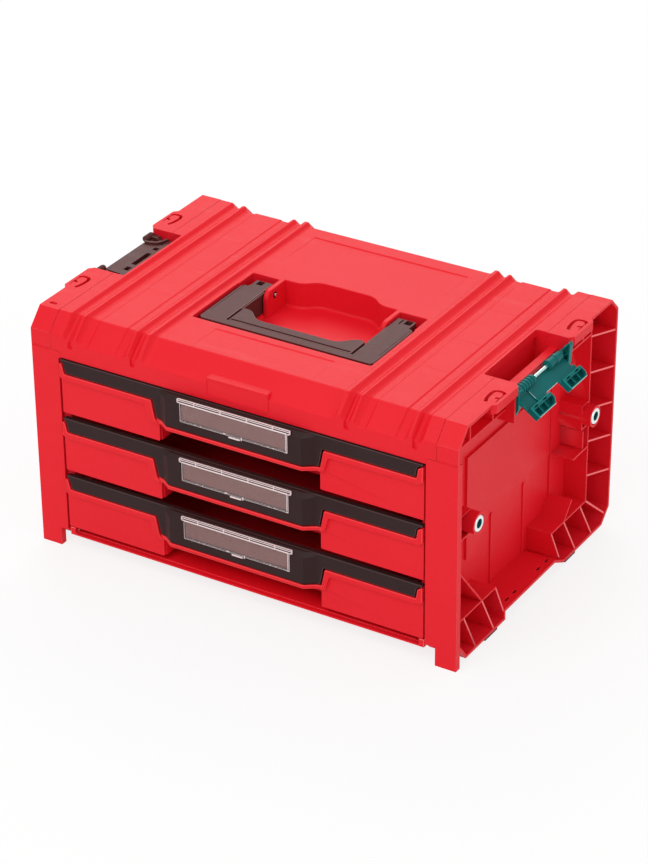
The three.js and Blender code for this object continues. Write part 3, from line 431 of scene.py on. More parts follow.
def finished(node, body, slot, materials, width, cleared=(), adds=(), cuts=()):
    """Copies a CAD node, merges its loose triangles into flat faces and rounds every edge that
    stands out by more than the edge turn; the rounded faces take the last material, a painted
    highlight. Then clears old forms away, joins the added solids and makes the cuts."""
    mesh = bpy.data.meshes.new(f"{node}_skin")
    skin = bmesh.new()
    skin.from_mesh(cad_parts[node].data)
    bmesh.ops.remove_doubles(skin, verts=skin.verts, dist=skin_join)
    bmesh.ops.dissolve_limit(
        skin, angle_limit=flat_turn, verts=skin.verts, edges=skin.edges, delimit={"NORMAL"}
    )
    weight = skin.edges.layers.float.new("bevel_weight_edge")
    for edge in skin.edges:
        if edge.is_convex and edge.calc_face_angle(0) > edge_turn:
            edge[weight] = 1.0
    skin.to_mesh(mesh)
    skin.free()
    piece = placed(mesh.name, mesh)
    for material in materials:
        mesh.materials.append(material)
    bevel = piece.modifiers.new("edges", "BEVEL")
    bevel.limit_method = "WEIGHT"
    bevel.width = width * MM
    bevel.segments = edge_segments
    # The bevel's faces take the paler last material as a painted highlight
    bevel.material = len(materials) - 1
    settle(piece, bevel)
    for solid in cleared:
        carve(piece, solid)
    join(piece, *adds)
    for solid in cuts:
        carve(piece, solid)
    tidy(piece)
    shown(piece, body, slot, node)
    return piece


# Arched sockets and a small hole by each, seen from above, from the socket's front. Then the
# seams beside the post, which are wider on the left, and a drain in the left foot's corner
flange_top, open_air = 243.9, 250
socket_starts, socket_depth, socket_width = (60.6, 215.6), 3.4, 3.4
socket_line = np.array([
    (217.2, 0.4), (215.4, 5.5), (214.6, 11), (214.5, 16.5), (215.2, 20.2), (217, 21.8),
    (220, 22.4), (223.4, 22), (226.2, 19.6),
])
socket_hole = np.array([(221.4, 8.6), (225.3, 9.4), (225.3, 12.6), (221.4, 11.4)])
seams = {
    "gap": [(192.9, 2.2, 21), (196.5, 5.2, 203)],
    "seam": [(201.5, -1, 209.7), (226, 0.45, 210.1)],
    "second_seam": [(199.5, -1, 211.2), (226, 0.3, 211.45)],
}
left_seams = {
    "post_edge": [(-195.2, -1, 20), (-190, 5.2, 203.4)],
    "wide_gap": [(-199, 2.2, 21), (-194, 5.2, 203)],
}
drain = oblong(-219.4, -211.2, 22.3, 26.3)


def ribbon(path, width):
    """The closed outline of a band along a path: the path moved by half the width along its
    normals, there and back."""
    ahead = np.gradient(np.asarray(path, float), axis=0)
    ahead /= np.linalg.norm(ahead, axis=1, keepdims=True)
    aside = np.stack((ahead[:, 1], -ahead[:, 0]), -1) * width / 2
    return np.vstack((path + aside, (path - aside)[::-1]))


# The ribs end short of the rim's edge, and wedges carry them out to it: struts in the feet,
# as (y, z) of both ends, and rungs that drop towards the rear, each from its height there
rib_front, rib_half_width, rim_edge, wall_face = 216, 0.9, 224.6, 204
rung_rear = {60: 299.2, 97.1: 299.8, 132: 300.4, 170: 301, 208: 301.6}
rung_front, rung_drop, rung_rise = 266.5, 5, 5.5
struts = [
    [(30, 37.5), (36.9, 6.5)], [(63.5, 37.5), (70.7, 6.5)], [(222, 37.5), (230, 6.5)],
    [(255, 37.5), (263, 6.5)], [(266.5, 37.5), (292.3, 12.8)],
    [(89, 37.5), (89, 15)], [(197.0, 37.5), (197.0, 15)],
]


def gusset(sign, start, end, root=rib_front - 2):
    """A wedge on the front of a rib from one (y, z) to another, as thick as the rib: in line
    with the other ribs at its start and with the rim's edge at its end."""
    start, end = np.array(start, float), np.array(end, float)
    along = (end - start) / np.linalg.norm(end - start)
    aside = np.array((-along[1], along[0])) * rib_half_width
    corners = ((root, start), (rib_front - 0.1, start), (rim_edge, end), (root, end))
    rings = [[(sign * x, *(place + shift)) for x, place in corners] for shift in (-aside, aside)]
    piece = loft("gusset", rings, red)
    # Its front edge takes the paler red, a painted highlight
    piece.data.polygons[1].material_index = 1
    return piece


for side, sign in sign_of.items():
    cuts = []
    for start in socket_starts:
        dip = ribbon(socket_line + (0, start), socket_width)
        hole = rounded(socket_hole + (0, start), 0.8)
        cuts.append(slab("dip", dip[::sign] * (sign, 1), flange_top - socket_depth, open_air))
        cuts.append(slab("hole", hole[::sign] * (sign, 1), flange_top - socket_depth, open_air))
    for name, (low, high) in seams.items():
        low_x, high_x = span(sign, low[0], high[0])
        cuts.append(crate(name, (low_x, *low[1:]), (high_x, *high[1:]), 0.05, ()))
    if side == "left":
        cuts += [crate(name, low, high, 0.05, ()) for name, (low, high) in left_seams.items()]
        cuts.append(slab("drain", rounded(drain, 1.6), 240, open_air))
    adds, cleared = [gusset(sign, *strut) for strut in struts], []
    low_x, high_x = span(sign, wall_face + 0.02, rib_front + 1)
    for z, rear in rung_rear.items():
        adds.append(gusset(sign, (rung_front, z + rung_rise), (rear - 1, z), wall_face - 1))
        low = (low_x, rung_front + 0.95, z - rung_drop - 2)
        cleared.append(crate("old_rung", low, (high_x, rear - 2.55, z + 1.5), 0.05, ()))
    finished(
        f"side_frame_{side}", "case", "red_moulding", red, 0.7, cleared=cleared, adds=adds,
        cuts=cuts,
    )


# Back and base
# Two red plates close the case between its sides, and the trays slide on strips above them.

finished("back_panel", "case", "red_moulding", red, 0.5)
finished(
    "base_panel", "case", "red_moulding", red, 0.5,
    cuts=[crate("front_room", (-187, -1, 17), (187, 5, 30), 0.1)],
)
levels = ("top", "middle", "bottom")
for level in levels:
    for side in sign_of:
        finished(f"drawer_runner_{level}_{side}", "case", "red_moulding", red, 0.5)


# Lid
# One red moulding closes the case, clipped between the sides. Ribs run from its front band
# over the top to the rear, and a deep recess with two ears holds the carrying handle.

lid_half = 203.2
band_step, band_top = 215.6, 222.0
panel_top, rib_top = 240.0, flange_top
groove_depth = 2.4

# Across the lid, from its middle: the heights of its ribs and the share of its grooves
ribs = [
    (0, 0), (96, 0), (98.5, 0.2), (100.4, 1.0), (101.6, 2.3), (102.8, 3.9), (106.3, 3.9),
    (109, 1.2), (111, 0.1), (112.6, -0.3), (113.4, -0.1), (115, 0.6), (116.5, 1.9), (117.6, 3.2),
    (119.6, 3.2), (120.9, 1.7), (122.6, 0.2), (125, -0.8), (131.4, -0.9), (133, 0), (161.4, 0),
    (162.9, -0.9), (169.5, -0.8), (172, 0.2), (173.8, 1.9), (175, 3.6), (177.5, 3.6),
    (178.7, 2.2), (180.4, 0.7), (182.4, 0), (183.6, 0), (185.2, 0.3), (186.8, 1.0), (189.7, 3.9),
    (204, 3.9),
]
grooves = [
    (0, 0), (110.2, 0), (111.2, 1), (114.6, 1), (115.1, 0), (179.2, 0), (179.8, 1), (183, 1),
    (184, 0), (204, 0),
]

# Along the lid, from its front, as (y, z): between the ribs, on top of them, and inside
low_path = [
    (0, 204.5), (0, 215.6), (0, 216.3), (0, 222), (23, 240),
    (286.5, 240), (302, 226), (301.8, 216.3), (301.8, 215.6), (301.6, 210),
]
high_path = [
    (0, 204.5), (0, 215.6), (0, 216.3), (0, 227), (16, 243.9),
    (288.5, 243.9), (302, 230), (301.8, 216.3), (301.8, 215.6), (301.6, 210),
]
bend_cuts = [0.15, 0.15, 1.0, 1.6, 1.6, 1.0, 0.15, 0.15]
bend_steps = 4
lid_inside = [(6, 204.5), (6, 219.8), (26, 236.6), (278, 236.6), (298.7, 223), (298.7, 210)]
plate_span = (133, 161)
plate_lines = (97, 156, 222)
plate_line_width, plate_line_depth = 0.9, 0.25
shallow_frames = [(63, 25, 63.5, 0.9), (84, 206, 269.5, 1.1)]
frame_edge, top_ends, side_drop = 1.6, (26, 278), 0.07
rib_ease, groove_ease = 0.45, 0.25


def eased(at, points, reach):
    """A broken line through the points with rounded corners: its mean over at ± reach."""
    place, height = np.transpose(points)
    spread = np.linspace(-reach, reach, 9)
    return np.interp(np.asarray(at)[..., None] + spread, place, height).mean(-1)


def ramp(value, start, end):
    """0 before the start, 1 past the end, straight between."""
    return np.clip((value - start) / (end - start), 0, 1)


def bent(points, cuts):
    """A broken line whose corners are curves that leave it at each cut's length from the
    corner: (1-t)(1-t) from + 2t(1-t) corner + tt to."""
    points = np.asarray(points, float)
    ahead = np.diff(points, axis=0)
    ahead /= np.linalg.norm(ahead, axis=1, keepdims=True)
    corner, cuts = points[1:-1], np.asarray(cuts, float)[:, None]
    t = np.linspace(0, 1, bend_steps + 1)[:, None, None]
    curves = (1 - t) ** 2 * (corner - cuts * ahead[:-1])
    curves = curves + 2 * t * (1 - t) * corner + t ** 2 * (corner + cuts * ahead[1:])
    inner = curves.transpose(1, 0, 2).reshape(-1, points.shape[1])
    return np.vstack((points[:1], inner, points[-1:]))


def close_places(corners, steps, low, high):
    """Places between low and high that lie at each step from each corner."""
    places = (np.asarray(corners, float)[:, None] + steps).ravel()
    return np.unique(np.round(places[(places > low) & (places < high)], 2))


def lid_shell():
    """The skin across and along: the low path plus the ribs' share of the way to the high
    path, less the grooves in the band and the shallow frames. A second skin lies inside."""
    corners = [x for x, _ in ribs + grooves] + [half for half, *_ in shallow_frames]
    half = close_places(corners, rib_ease * np.array([-1, -0.5, 0, 0.5, 1]), 0.1, lid_half - 0.4)
    half = np.append(half, (lid_half - 0.25, lid_half))
    across = np.concatenate((-half[::-1], half))
    share = eased(np.abs(across), ribs, rib_ease) / (rib_top - panel_top)
    share[[0, -1]] -= side_drop
    low, high = bent(low_path, bend_cuts), bent(high_path, bend_cuts)

    # The flat top's own points go in after the front's four bends
    front = 1 + 4 * (bend_steps + 1)
    stops = [y for _, first, last, _ in shallow_frames for y in (first, last)] + list(plate_lines)
    steps = plate_line_width * np.array([-1, -0.5, 0, 0.5, 1])
    stops = close_places(stops, steps, *top_ends)
    flat = np.stack((stops, np.full(len(stops), panel_top)), -1)
    low = np.vstack((low[:front], flat, low[front:]))
    high = np.vstack((high[:front], flat + (0, rib_top - panel_top), high[front:]))
    skin = low[:, None] + share[:, None] * (high - low)[:, None]
    in_band = ramp(low[:, 1], band_step, band_step + 0.7) * ramp(low[:, 1], panel_top, band_top)
    inward = np.sign(lid_inside[-1][0] / 2 - low[:, 0])
    groove = eased(np.abs(across), grooves, groove_ease)
    skin[..., 0] += groove_depth * groove * (in_band * inward)[:, None]
    y, sunk = skin[..., 0], np.zeros(skin.shape[:2])
    for half, start, end, drop in shallow_frames:
        sides = ramp(np.abs(across), half + frame_edge / 2, half - frame_edge / 2)
        stop = ramp(y, end + frame_edge / 2, end - frame_edge / 2)
        sunk += drop * ramp(y, start, end) * stop * sides
    on_plate = (np.abs(across) > plate_span[0]) & (np.abs(across) < plate_span[1])
    for line in plate_lines:
        near = np.clip(1 - np.abs(y - line) / plate_line_width, 0, 1)
        sunk += on_plate * plate_line_depth * near
    on_top = low[:, 1] > panel_top - 0.01
    skin[..., 1] -= sunk * on_top[:, None]

    # The inner skin, and faces that close the two along their edges
    columns = len(across)
    inner = np.broadcast_to(np.asarray(lid_inside, float)[:, None], (len(lid_inside), columns, 2))
    both = np.concatenate((skin, inner))
    points = np.dstack((np.broadcast_to(across, both.shape[:2]), both))
    outer_rows = np.arange(len(skin)) * columns
    inner_rows = (len(skin) + np.arange(len(inner))) * columns
    faces = grid_faces(len(skin), columns)
    faces += [face[::-1] for face in grid_faces(len(inner), columns, inner_rows[0])]
    side = np.arange(columns - 1)
    for a, b in ((outer_rows[0], inner_rows[0]), (inner_rows[-1], outer_rows[-1])):
        faces += np.stack((b + side, b + side + 1, a + side + 1, a + side), -1).tolist()
    rim = np.concatenate((outer_rows, inner_rows[::-1]))
    faces += [rim.tolist(), (rim[::-1] + columns - 1).tolist()]
    return meshed("top_cover_skin", points, faces, red)


def recess(name, outline, floor, top, fillet, lip, spread=4, axis="z"):
    """The solid that cuts a recess: rings of the outline rise from the floor, with a curve of
    the fillet's radius at its foot, and flare out over the lip's radius at the top. Along y
    the outline holds (x, z) and the solid rises to the front."""
    turn = np.radians(np.linspace(0, 90, 5))
    foot = [(-fillet * (1 - math.sin(a)), floor + fillet * (1 - math.cos(a))) for a in turn]
    flare = math.radians(75)
    turn = np.linspace(0, flare, 5)
    head = [(lip * (1 - math.cos(a)), top - lip * (1 - math.sin(a))) for a in turn]
    out, height = head[-1]
    head.append((out + spread, height + spread / math.tan(flare) + lip))
    rings = []
    for out, z in foot + head:
        ring = grown(outline, out)
        if axis == "y":
            rings.append(np.column_stack((ring[:, 0], np.full(len(ring), -z), ring[:, 1])))
        else:
            rings.append(np.column_stack((ring, np.full(len(ring), z))))
    return loft(name, rings)


def joined(name, pieces):
    """One piece made of several, each keeping the number of its material."""
    whole = bmesh.new()
    for piece in pieces:
        whole.from_mesh(piece.data)
    mesh = bpy.data.meshes.new(name)
    whole.to_mesh(mesh)
    whole.free()
    for material in pieces[0].data.materials:
        mesh.materials.append(material)
    for piece in pieces:
        bpy.data.meshes.remove(piece.data)
    return placed(name, mesh)


def lowered(piece, name, drop):
    """A copy whose points lie the drop below the piece's."""
    mesh = piece.data.copy()
    mesh.transform(Matrix.Translation((0, 0, -drop * MM)))
    mesh.name = name
    copy = piece.copy()
    copy.data, copy.name = mesh, name
    bpy.context.scene.collection.objects.link(copy)
    return copy


def reshaped(piece, change):
    """Moves the points of a piece by a function of their places in millimetres."""
    flat = np.empty(len(piece.data.vertices) * 3)
    piece.data.vertices.foreach_get("co", flat)
    place = (flat.reshape(-1, 3) - case_foot) / MM
    piece.data.vertices.foreach_set("co", (change(place) * MM + case_foot).ravel())
    piece.data.update()


well_floor, arm_floor, bowl_floor, pan_wall = 222, 222, 213.5, 2
well = rounded(oblong(-95, 95, 73, 152), 1.8)
bowl = rounded(
    [(-65.5, 79), (65.5, 79), (65.5, 178.5), (42, 178.5), (30, 190), (-30, 190), (-42, 178.5),
     (-65.5, 178.5)],
    [4, 4, 5, 8, 8, 8, 8, 5], 8,
)
arm_room = rounded(oblong(65.9, 94, 145, 176), 1.4)
other_arm_room = arm_room[::-1] * (-1, 1)
ear = rounded(oblong(146.4, 180, 212.5, panel_top), [1.4, 1.4, 1.4, 9])
badge = rounded(oblong(-33, 33, 209.5, 228), 1.8)
badge_field = rounded(oblong(-31.6, 31.6, 210.9, 226.6), 1.2)
pocket = rounded(oblong(192, 230, 103.5, 202), [2, 1, 1, 2])
shoulder = rounded(oblong(193.2, 210, 200, 210.3), [1, 1, 1, 2.2])
lid = lid_shell()
for outline, floor_height in (
    (well, well_floor), (bowl, bowl_floor), (arm_room, arm_floor), (other_arm_room, arm_floor)
):
    pan = slab("pan", grown(outline, pan_wall), floor_height - pan_wall, panel_top - 1.2)
    join(lid, pan)
carve(lid, recess("well_space", well, well_floor, panel_top, 1.5, 0.7))
carve(lid, recess("arm_space", arm_room, arm_floor, panel_top, 1.0, 0.7))
carve(lid, recess("other_arm_space", other_arm_room, arm_floor, panel_top, 1.0, 0.7))
carve(lid, recess("bowl_space", bowl, bowl_floor, panel_top, 3.0, 0.8))
join(lid, slab("badge_plate", badge, -0.8, 8, 0.5, "y"))
carve(lid, slab("badge_space", badge_field, -2, -0.25, 0, "y"))
for sign in (-1, 1):
    low, high = span(sign, 60.3, 65.3)
    join(lid, slab("ear", ear, low, high, 1.0, "x"))
    carve(lid, slab("pocket_space", pocket * (sign, 1), 200, open_air))
    low, high = span(sign, 65.0, 68.2)
    carve(lid, crate("web_space", (low, 108.5, 216.8), (high, 152.6, 223), 0.05, ()))
    carve(lid, slab("shoulder_space", shoulder * (sign, 1), -5, 12, 0, "y"))
tidy(lid)
shown(lid, "case", "red_moulding", "top_cover")


# Lugs and eyelets
# Dark plastic feet that drop into the sockets of the box below, and nickel-plated rings with a
# teal insert, pressed into the bosses of the sides. Dark plates sit in the slots of the feet as
# painted shade: the real slots are open, dark with the shadow under the box.

# The second colour of each moulding is paler: a highlight painted on rounded edges
dark = moulding("dark", (0.024, 0.006, 0.006), (0.07, 0.042, 0.040), 0.46, 0.34, 0.14)
brown = moulding("brown", (0.088, 0.020, 0.018), (0.20, 0.09, 0.085), 0.44, 0.32, 0.19)
steel_finish = Finish("zinc", Metallic=1.0, Base_Color=(0.86, 0.88, 0.88))
steel_finish.set(Roughness=0.24 + steel_finish.noise(0.002, 3) * 0.12)
teal = moulding(
    "teal", (0.0005, 0.12, 0.118), (0.004, 0.34, 0.30), 0.34, 0.22, 0.22, (0.02, 0.85, 0.86)
)
ring_finish = [steel_finish.material, teal[0]]
eyelet_rows = {"front": 39.7, "rear": 263.3}
eyelet_height, eyelet_radius, eyelet_bore = 133.75, 7.95, 4.1
lug_spans = {"front": (57, 80), "rear": (212.5, 233)}
slot_rows = (106.9, 122.0, 167.9, 183.9)
facets = 36


def turned(name, profile, centre, materials, axis="y"):
    """A solid of revolution: at each place along the axis a ring of the profile's radius,
    round the centre given by its other two places."""
    around = np.linspace(0, 2 * math.pi, facets, endpoint=False)
    order = {"x": (2, 0, 1), "y": (0, 2, 1)}[axis]
    rings = []
    for place, radius in profile:
        first, second = centre[0] + radius * np.cos(around), centre[1] + radius * np.sin(around)
        rings.append(np.stack((first, second, np.full(facets, place)), -1)[:, order])
    return loft(name, rings, materials)


def tinted(piece, number):
    """Gives every face of a piece the material of that number."""
    piece.data.polygons.foreach_set("material_index", [number] * len(piece.data.polygons))
    return piece


for side, sign in sign_of.items():
    for row, y in eyelet_rows.items():
        low_x, high_x = span(sign, 219, 223.4)
        start, end = lug_spans[row]
        finished(
            f"stacking_lug_{row}_{side}", "case", "dark_moulding", dark, 0.5,
            adds=[crate("edge", (low_x, start, 0.2), (high_x, end, 4.6), 0.5, dark)],
        )
        centre = (y, eyelet_height)
        ends = [(212.1, 7.6), (212.5, eyelet_radius), (224.2, eyelet_radius), (224.8, 7.4)]
        ends = [(sign * x, radius) for x, radius in ends]
        ring = turned(f"side_eyelet_{row}_{side}_skin", ends, centre, ring_finish, "x")
        bore = [(219.0, eyelet_bore), (224.3, eyelet_bore), (225.4, 5.2)]
        bore = [(sign * x, radius) for x, radius in bore]
        carve(ring, tinted(turned("bore", bore, centre, ring_finish, "x"), 1))
        tidy(ring)
        shown(ring, "case", "steel", f"side_eyelet_{row}_{side}")
    low_x, high_x = span(sign, 216.3, 219.7)
    # Painted shade: dark plates at the foot of each slot, where the real slots open onto the
    # shadow under the box
    shade_plates = [
        crate("slot_shade_plate", (low_x, y - 4, 13.65), (high_x, y + 4, 14.0), 0.1, dark)
        for y in slot_rows
    ]
    shown(joined(f"slot_shade_plates_{side}", shade_plates), "case", "dark_moulding")


# Latches
# Dark on the left and teal on the right: a lever with two claws turns on a steel pin between
# the cheeks of its bracket. The left one is folded in, the right one hangs open.

pin_x, pin_z = 222.0, 231.1
hang = math.radians(36)
# A pale, glossy teal painted on thin strips as highlights along the lever's edges
teal_highlight_line = Finish("teal_painted_highlight", Base_Color=(0.62, 0.80, 0.74), Roughness=0.25)
teal_lever = teal + [teal_highlight_line.material]
# The latch pins are steel whose colour carries a painted teal reflection of the latch parts round
# them
teal_reflection_steel = Finish("teal_reflection_steel", Metallic=1.0, Base_Color=(0.60, 0.86, 0.80))
teal_reflection_steel.set(Roughness=0.22 + teal_reflection_steel.noise(0.003, 3) * 0.1)


def knob(name, start, end, centre, materials, high, low, pitch, ridge):
    """A round boss with rings: its radius is high over the ridge, low over the rest."""
    count = max(1, int((end - start) / pitch))
    profile = [(start, low - 1.5), (start, low)]
    for foot in start + 0.3 + (end - start - 0.6) / count * np.arange(count):
        profile += [(foot, low), (foot + 0.35, high)]
        profile += [(foot + ridge, high), (foot + ridge + 0.35, low)]
    profile += [(end, low), (end, low - 1.5)]
    return turned(name, profile, centre, materials)


def plate(outline, low, high, edge, radius=0.8, materials=teal_lever):
    """A level plate between two heights, with rounded corners and edges."""
    return slab("plate", rounded(outline, radius, 3), low, high, edge, "z", materials)


def opened(place):
    """Turns places about the pin by the angle that the open lever hangs down."""
    x, z = place[:, 0] - pin_x, place[:, 2] - pin_z
    turned_x = x * math.cos(hang) + z * math.sin(hang)
    turned_z = z * math.cos(hang) - x * math.sin(hang)
    return np.stack((pin_x + turned_x, place[:, 1], pin_z + turned_z), -1)


def right_lever():
    """Built as if it pointed straight out, with its outer face down, then turned open."""

    def out(corners):
        """Corners given by their distance from the pin and their place along it."""
        return [(pin_x + u, y) for u, y in corners]

    def up(height):
        """A height over the pin."""
        return pin_z + height

    lever = plate(out(oblong(1, 17.4, 125.5, 195)), up(-4.9), up(-2.4), 0.35)

    # Plates beside the barrels: their spans outwards, along the pin and in height
    joints = [
        (5, 19.6, 107, 127, -5.6, -3.6), (16, 19.8, 126, 142, -4.9, -2.5),
        (14, 19.8, 166.5, 199, -4.9, -2.5), (-3.5, 4, 127, 138, -4.7, -1.5),
        (-3.5, 4, 167, 192, -4.7, -1.5),
    ]
    join(lever, *(plate(out(oblong(*at)), up(low), up(high), 0.3) for *at, low, high in joints))

    # Each claw's outline, the hollow in it and the places of the thin ribs that divide it
    claws = [
        (
            [(18.8, 106), (30.5, 106), (30.5, 136.5), (25.5, 142), (18.8, 142)],
            [(22.4, 107.6), (29.1, 107.6), (29.1, 135.7), (24.9, 140.2), (22.4, 140.2)],
            (117, 127),
        ),
        (
            [(18.8, 166.5), (30.5, 166.5), (30.5, 196), (27, 199.5), (18.8, 199.5)],
            [(22.4, 168.1), (29.1, 168.1), (29.1, 195.2), (26.3, 197.9), (22.4, 197.9)],
            (178, 188),
        ),
    ]
    join(lever, *(plate(out(claw), up(-4.9), up(1.7), 0.45, 0.9) for claw, *_ in claws))
    join(
        lever,
        knob("front_barrel", 110.6, 138.8, (pin_x, pin_z), teal_lever, 4.9, 4.0, 4.4, 2.4),
        knob("rear_barrel", 166.2, 190, (pin_x, pin_z), teal_lever, 4.9, 4.2, 8, 5),
    )
    for _, room, ribs_at in claws:
        carve(lever, plate(out(room), up(-3.4), up(4), 0, 0.6))
        for y in ribs_at:
            low, high = (pin_x + 22, y, up(-4)), (pin_x + 29.6, y + 0.9, up(0.3))
            join(lever, crate("rib", low, high, 0.1, teal_lever))
        start = room[0][1]
        for y in (start + 3, start + 19):
            low, high = (pin_x + 19.9, y, up(-0.4)), (pin_x + 21.3, y + 6, up(4))
            carve(lever, crate("nick", low, high, 0.1, ()))

    # Painted highlights: pale glossy lines along edges, by their two corners
    lines = [
        ((30.25, 106.8, 1.3), (30.62, 136.2, 1.8)), ((30.25, 167.3, 1.3), (30.62, 195.6, 1.8)),
        ((17.1, 143.5, -2.55), (17.5, 163.5, -2.2)), ((6.5, 125.2, -2.6), (15.5, 125.6, -2.2)),
    ]
    for ends in lines:
        low, high = ((pin_x + x, y, up(height)) for x, y, height in ends)
        join(lever, tinted(crate("line", low, high, 0.12, teal_lever), 2))
    tidy(lever, 26)
    reshaped(lever, opened)
    return lever


def left_lever():
    """Lies inwards from its pin with its outer face up, over a barrel with ringed ends."""
    body = [
        (-224.4, 120), (-203, 118.2), (-203, 190), (-209.5, 187.6), (-217, 185.6), (-224.4, 184.6)
    ]
    curl = [
        (-223, 183.2), (-216, 184.2), (-210.2, 187), (-207, 192), (-205.2, 199), (-207.2, 199.4),
        (-209, 193), (-211.6, 188.9), (-216.5, 186.4), (-223, 185.2),
    ]

    # The barrel's radius at each place along the pin
    barrel = [(110.6, 4.1), (120, 4.3), (120, 4.8), (186, 4.8), (186, 4.3), (195, 4.1)]
    top = 236.0
    lever = plate(body, 232.6, top, 0.5, 0.9, brown)
    join(
        lever,
        plate(oblong(-206, -200, 106.2, 199.4), 232.8, top, 0.4, 0.6, brown),
        plate(oblong(-202.8, -193.6, 106, 139.6), 226.6, top, 0.5, 0.8, brown),
        plate(oblong(-202.8, -193.6, 166, 199.4), 226.6, top, 0.5, 0.8, brown),
        plate(curl, 235, 238.4, 0.4, 0.5, brown),
        turned("barrel", barrel, (-pin_x, pin_z), brown),
    )

    # Openings in the body, and the cells under both claws
    for start, end in ((140, 167.5), (126.5, 134), (175, 181)):
        carve(lever, plate(oblong(-208.8, -203.4, start, end), 228, 240, 0, 0.7, ()))
    for y in (108.5, 120, 131, 169, 180, 191):
        carve(lever, crate("cell", (-201, y, 222), (-195.4, y + 7, 233.5), 0.4, ()))
    tidy(lever, 26)
    return lever


# The left bracket has ringed knobs, the right one a leaf with three openings, as (x, z)
leaf_cells = [
    [(220.3, 217.4), (227.2, 219.4), (227.5, 223.8), (220.3, 220.2)],
    [(220.3, 221.8), (227.6, 225.5), (227.9, 231.0), (220.3, 225.0)],
    [(220.3, 226.7), (228.0, 232.7), (228.4, 239.8), (222.4, 233.2)],
]
leaf = [
    (215.2, 226.6), (215.2, 219), (221.4, 214.6), (228.6, 219.4), (230.2, 239.6), (228.9, 243.4)
]
slope = np.array([(210, 221), (227.6, 242.2), (227.6, 250), (210, 250)])
knob_centre = (-225.6, 237)
bracket_adds = {
    "left": [
        knob("rear_end", 188.2, 200.8, knob_centre, brown, 3.35, 2.7, 2.4, 1.1),
        knob("front_end", 108, 119.4, knob_centre, brown, 3.35, 2.7, 2.4, 1.1),
    ],
    "right": [slab("leaf", rounded(leaf, 0.7, 3), 195.45, 200.9, 0.3, "y", teal)],
}
bracket_cuts = {
    "left": [],
    "right": [
        slab("slope", slope, 195, 201.5, 0, "y"),
        *(slab("cell", rounded(cell, 0.5, 3), 194, 198.6, 0, "y") for cell in leaf_cells),
    ],
}
pin_ends = [(105.6, 1.3), (106, 1.65), (199.6, 1.65), (200, 1.3)]
for side, plastic, slot, lever in (
    ("left", brown, "dark_moulding", left_lever()),
    ("right", teal, "teal_moulding", right_lever()),
):
    finished(
        f"latch_bracket_{side}", "case", slot, plastic, 0.35,
        adds=bracket_adds[side], cuts=bracket_cuts[side],
    )
    centre = (sign_of[side] * pin_x, pin_z)
    pin = turned(f"latch_pin_{side}_skin", pin_ends, centre, [teal_reflection_steel.material])
    tidy(pin)
    shown(pin, "case", "steel", f"latch_pin_{side}")
    lever.name = lever.data.name = f"latch_lever_{side}_skin"
    shown(lever, f"latch_{side}", slot, f"latch_lever_{side}")


# Carrying handle
# A brown frame with a grip that is clipped into it, hung on two steel pins in the lid's ears.
# Its arms have webs on their inner sides, which close the bowl when it lies flat.

grip_corners = [
    (-65, 87.4), (65, 87.4), (65, 114.2), (56.5, 114.2), (42.5, 100.2), (-42.5, 100.2),
    (-56.5, 114.2), (-65, 114.2),
]
grip_radii = [0.9, 0.9, 2.2, 5.6, 6.5, 6.5, 5.6, 2.2]
handle_top, grip_foot = 238.0, 226.6
groove_span = (-63.6, 63.6, 88.3, 90.5)

# Slots in the arms and lines along them, as spans in x and in y
arm_slots = [
    (-86.3, -84.9, 157.4, 168.0), (-81.6, -75.2, 160, 167.6), (73.2, 74.6, 158.4, 167.6),
    (77.6, 84.6, 160, 167.6),
]
arm_lines = [(-90.0, -89.6, 96, 152), (89.6, 90.0, 96, 152)]
web = [(112.5, 237.1), (112.5, 217.1), (149, 217.1), (152, 222), (152, 237.1)]
pin_centre = (160, 232.5)
pin_profiles = [
    [(58.9, 0.7), (59.0, 1.4), (59.3, 1.85), (60.2, 1.95), (60.2, 2.35), (75.6, 2.35), (76, 2)],
    [(59.8, 1.9), (59.75, 3.0), (60.2, 3.1), (60.25, 1.9)],
]
pin_finish = [steel_finish.material, dark[0]]


def pit(place, depth):
    """The solid that cuts a slot of the given depth into the handle's top."""
    low_x, high_x, low_y, high_y = place
    low, high = (low_x, low_y, handle_top - depth), (high_x, high_y, handle_top + 5)
    return crate("pit", low, high, 0.15, ())


webs = [
    slab("web", rounded(web, 0.8, 3), *span(sign, 66.1, 67.9), 0.3, "x", brown)
    for sign in (-1, 1)
]
finished(
    "handle_frame", "handle", "dark_moulding", brown, 0.7, adds=webs,
    cuts=[pit(place, 5) for place in arm_slots] + [pit(place, 0.5) for place in arm_lines],
)
grip = slab(
    "handle_grip_skin", rounded(grip_corners, grip_radii), grip_foot, handle_top, 0.8, "z", brown
)
carve(grip, pit(groove_span, 3.5))
tidy(grip)
shown(grip, "handle", "dark_moulding", "handle_grip")
for side, sign in sign_of.items():
    parts = []
    for number, profile in enumerate(pin_profiles):
        profile = [(sign * x, radius) for x, radius in profile]
        parts.append(tinted(turned("part", profile, pin_centre, pin_finish, "x"), number))
    pin = joined(f"handle_pin_{side}_skin", parts)
    tidy(pin)
    shown(pin, "case", "steel", f"handle_pin_{side}")


# Drawers
# Each is a red tray whose front has a raised frame, a dark trim with a pull bar clipped into
# that frame, and a paper label under a clear flap that hinges on the bar.

drawer_foot, drawer_pitch = 147.0, 61.5
tray_half, tray_rear, tray_wall, tray_rim = 179.9, 284.3, 2.2, 193.0
slide_half, slide_thickness, front_wall_rear = 186.9, 2.4, 6.5
frame_face, field_face, panel_back = -2.5, 0.5, 4.3
trim_face, trim_back = -1.9, 3.7
finger_half, finger_depth = 84.7, 22.0
lip_low, lip_high = 166.2, 170.1

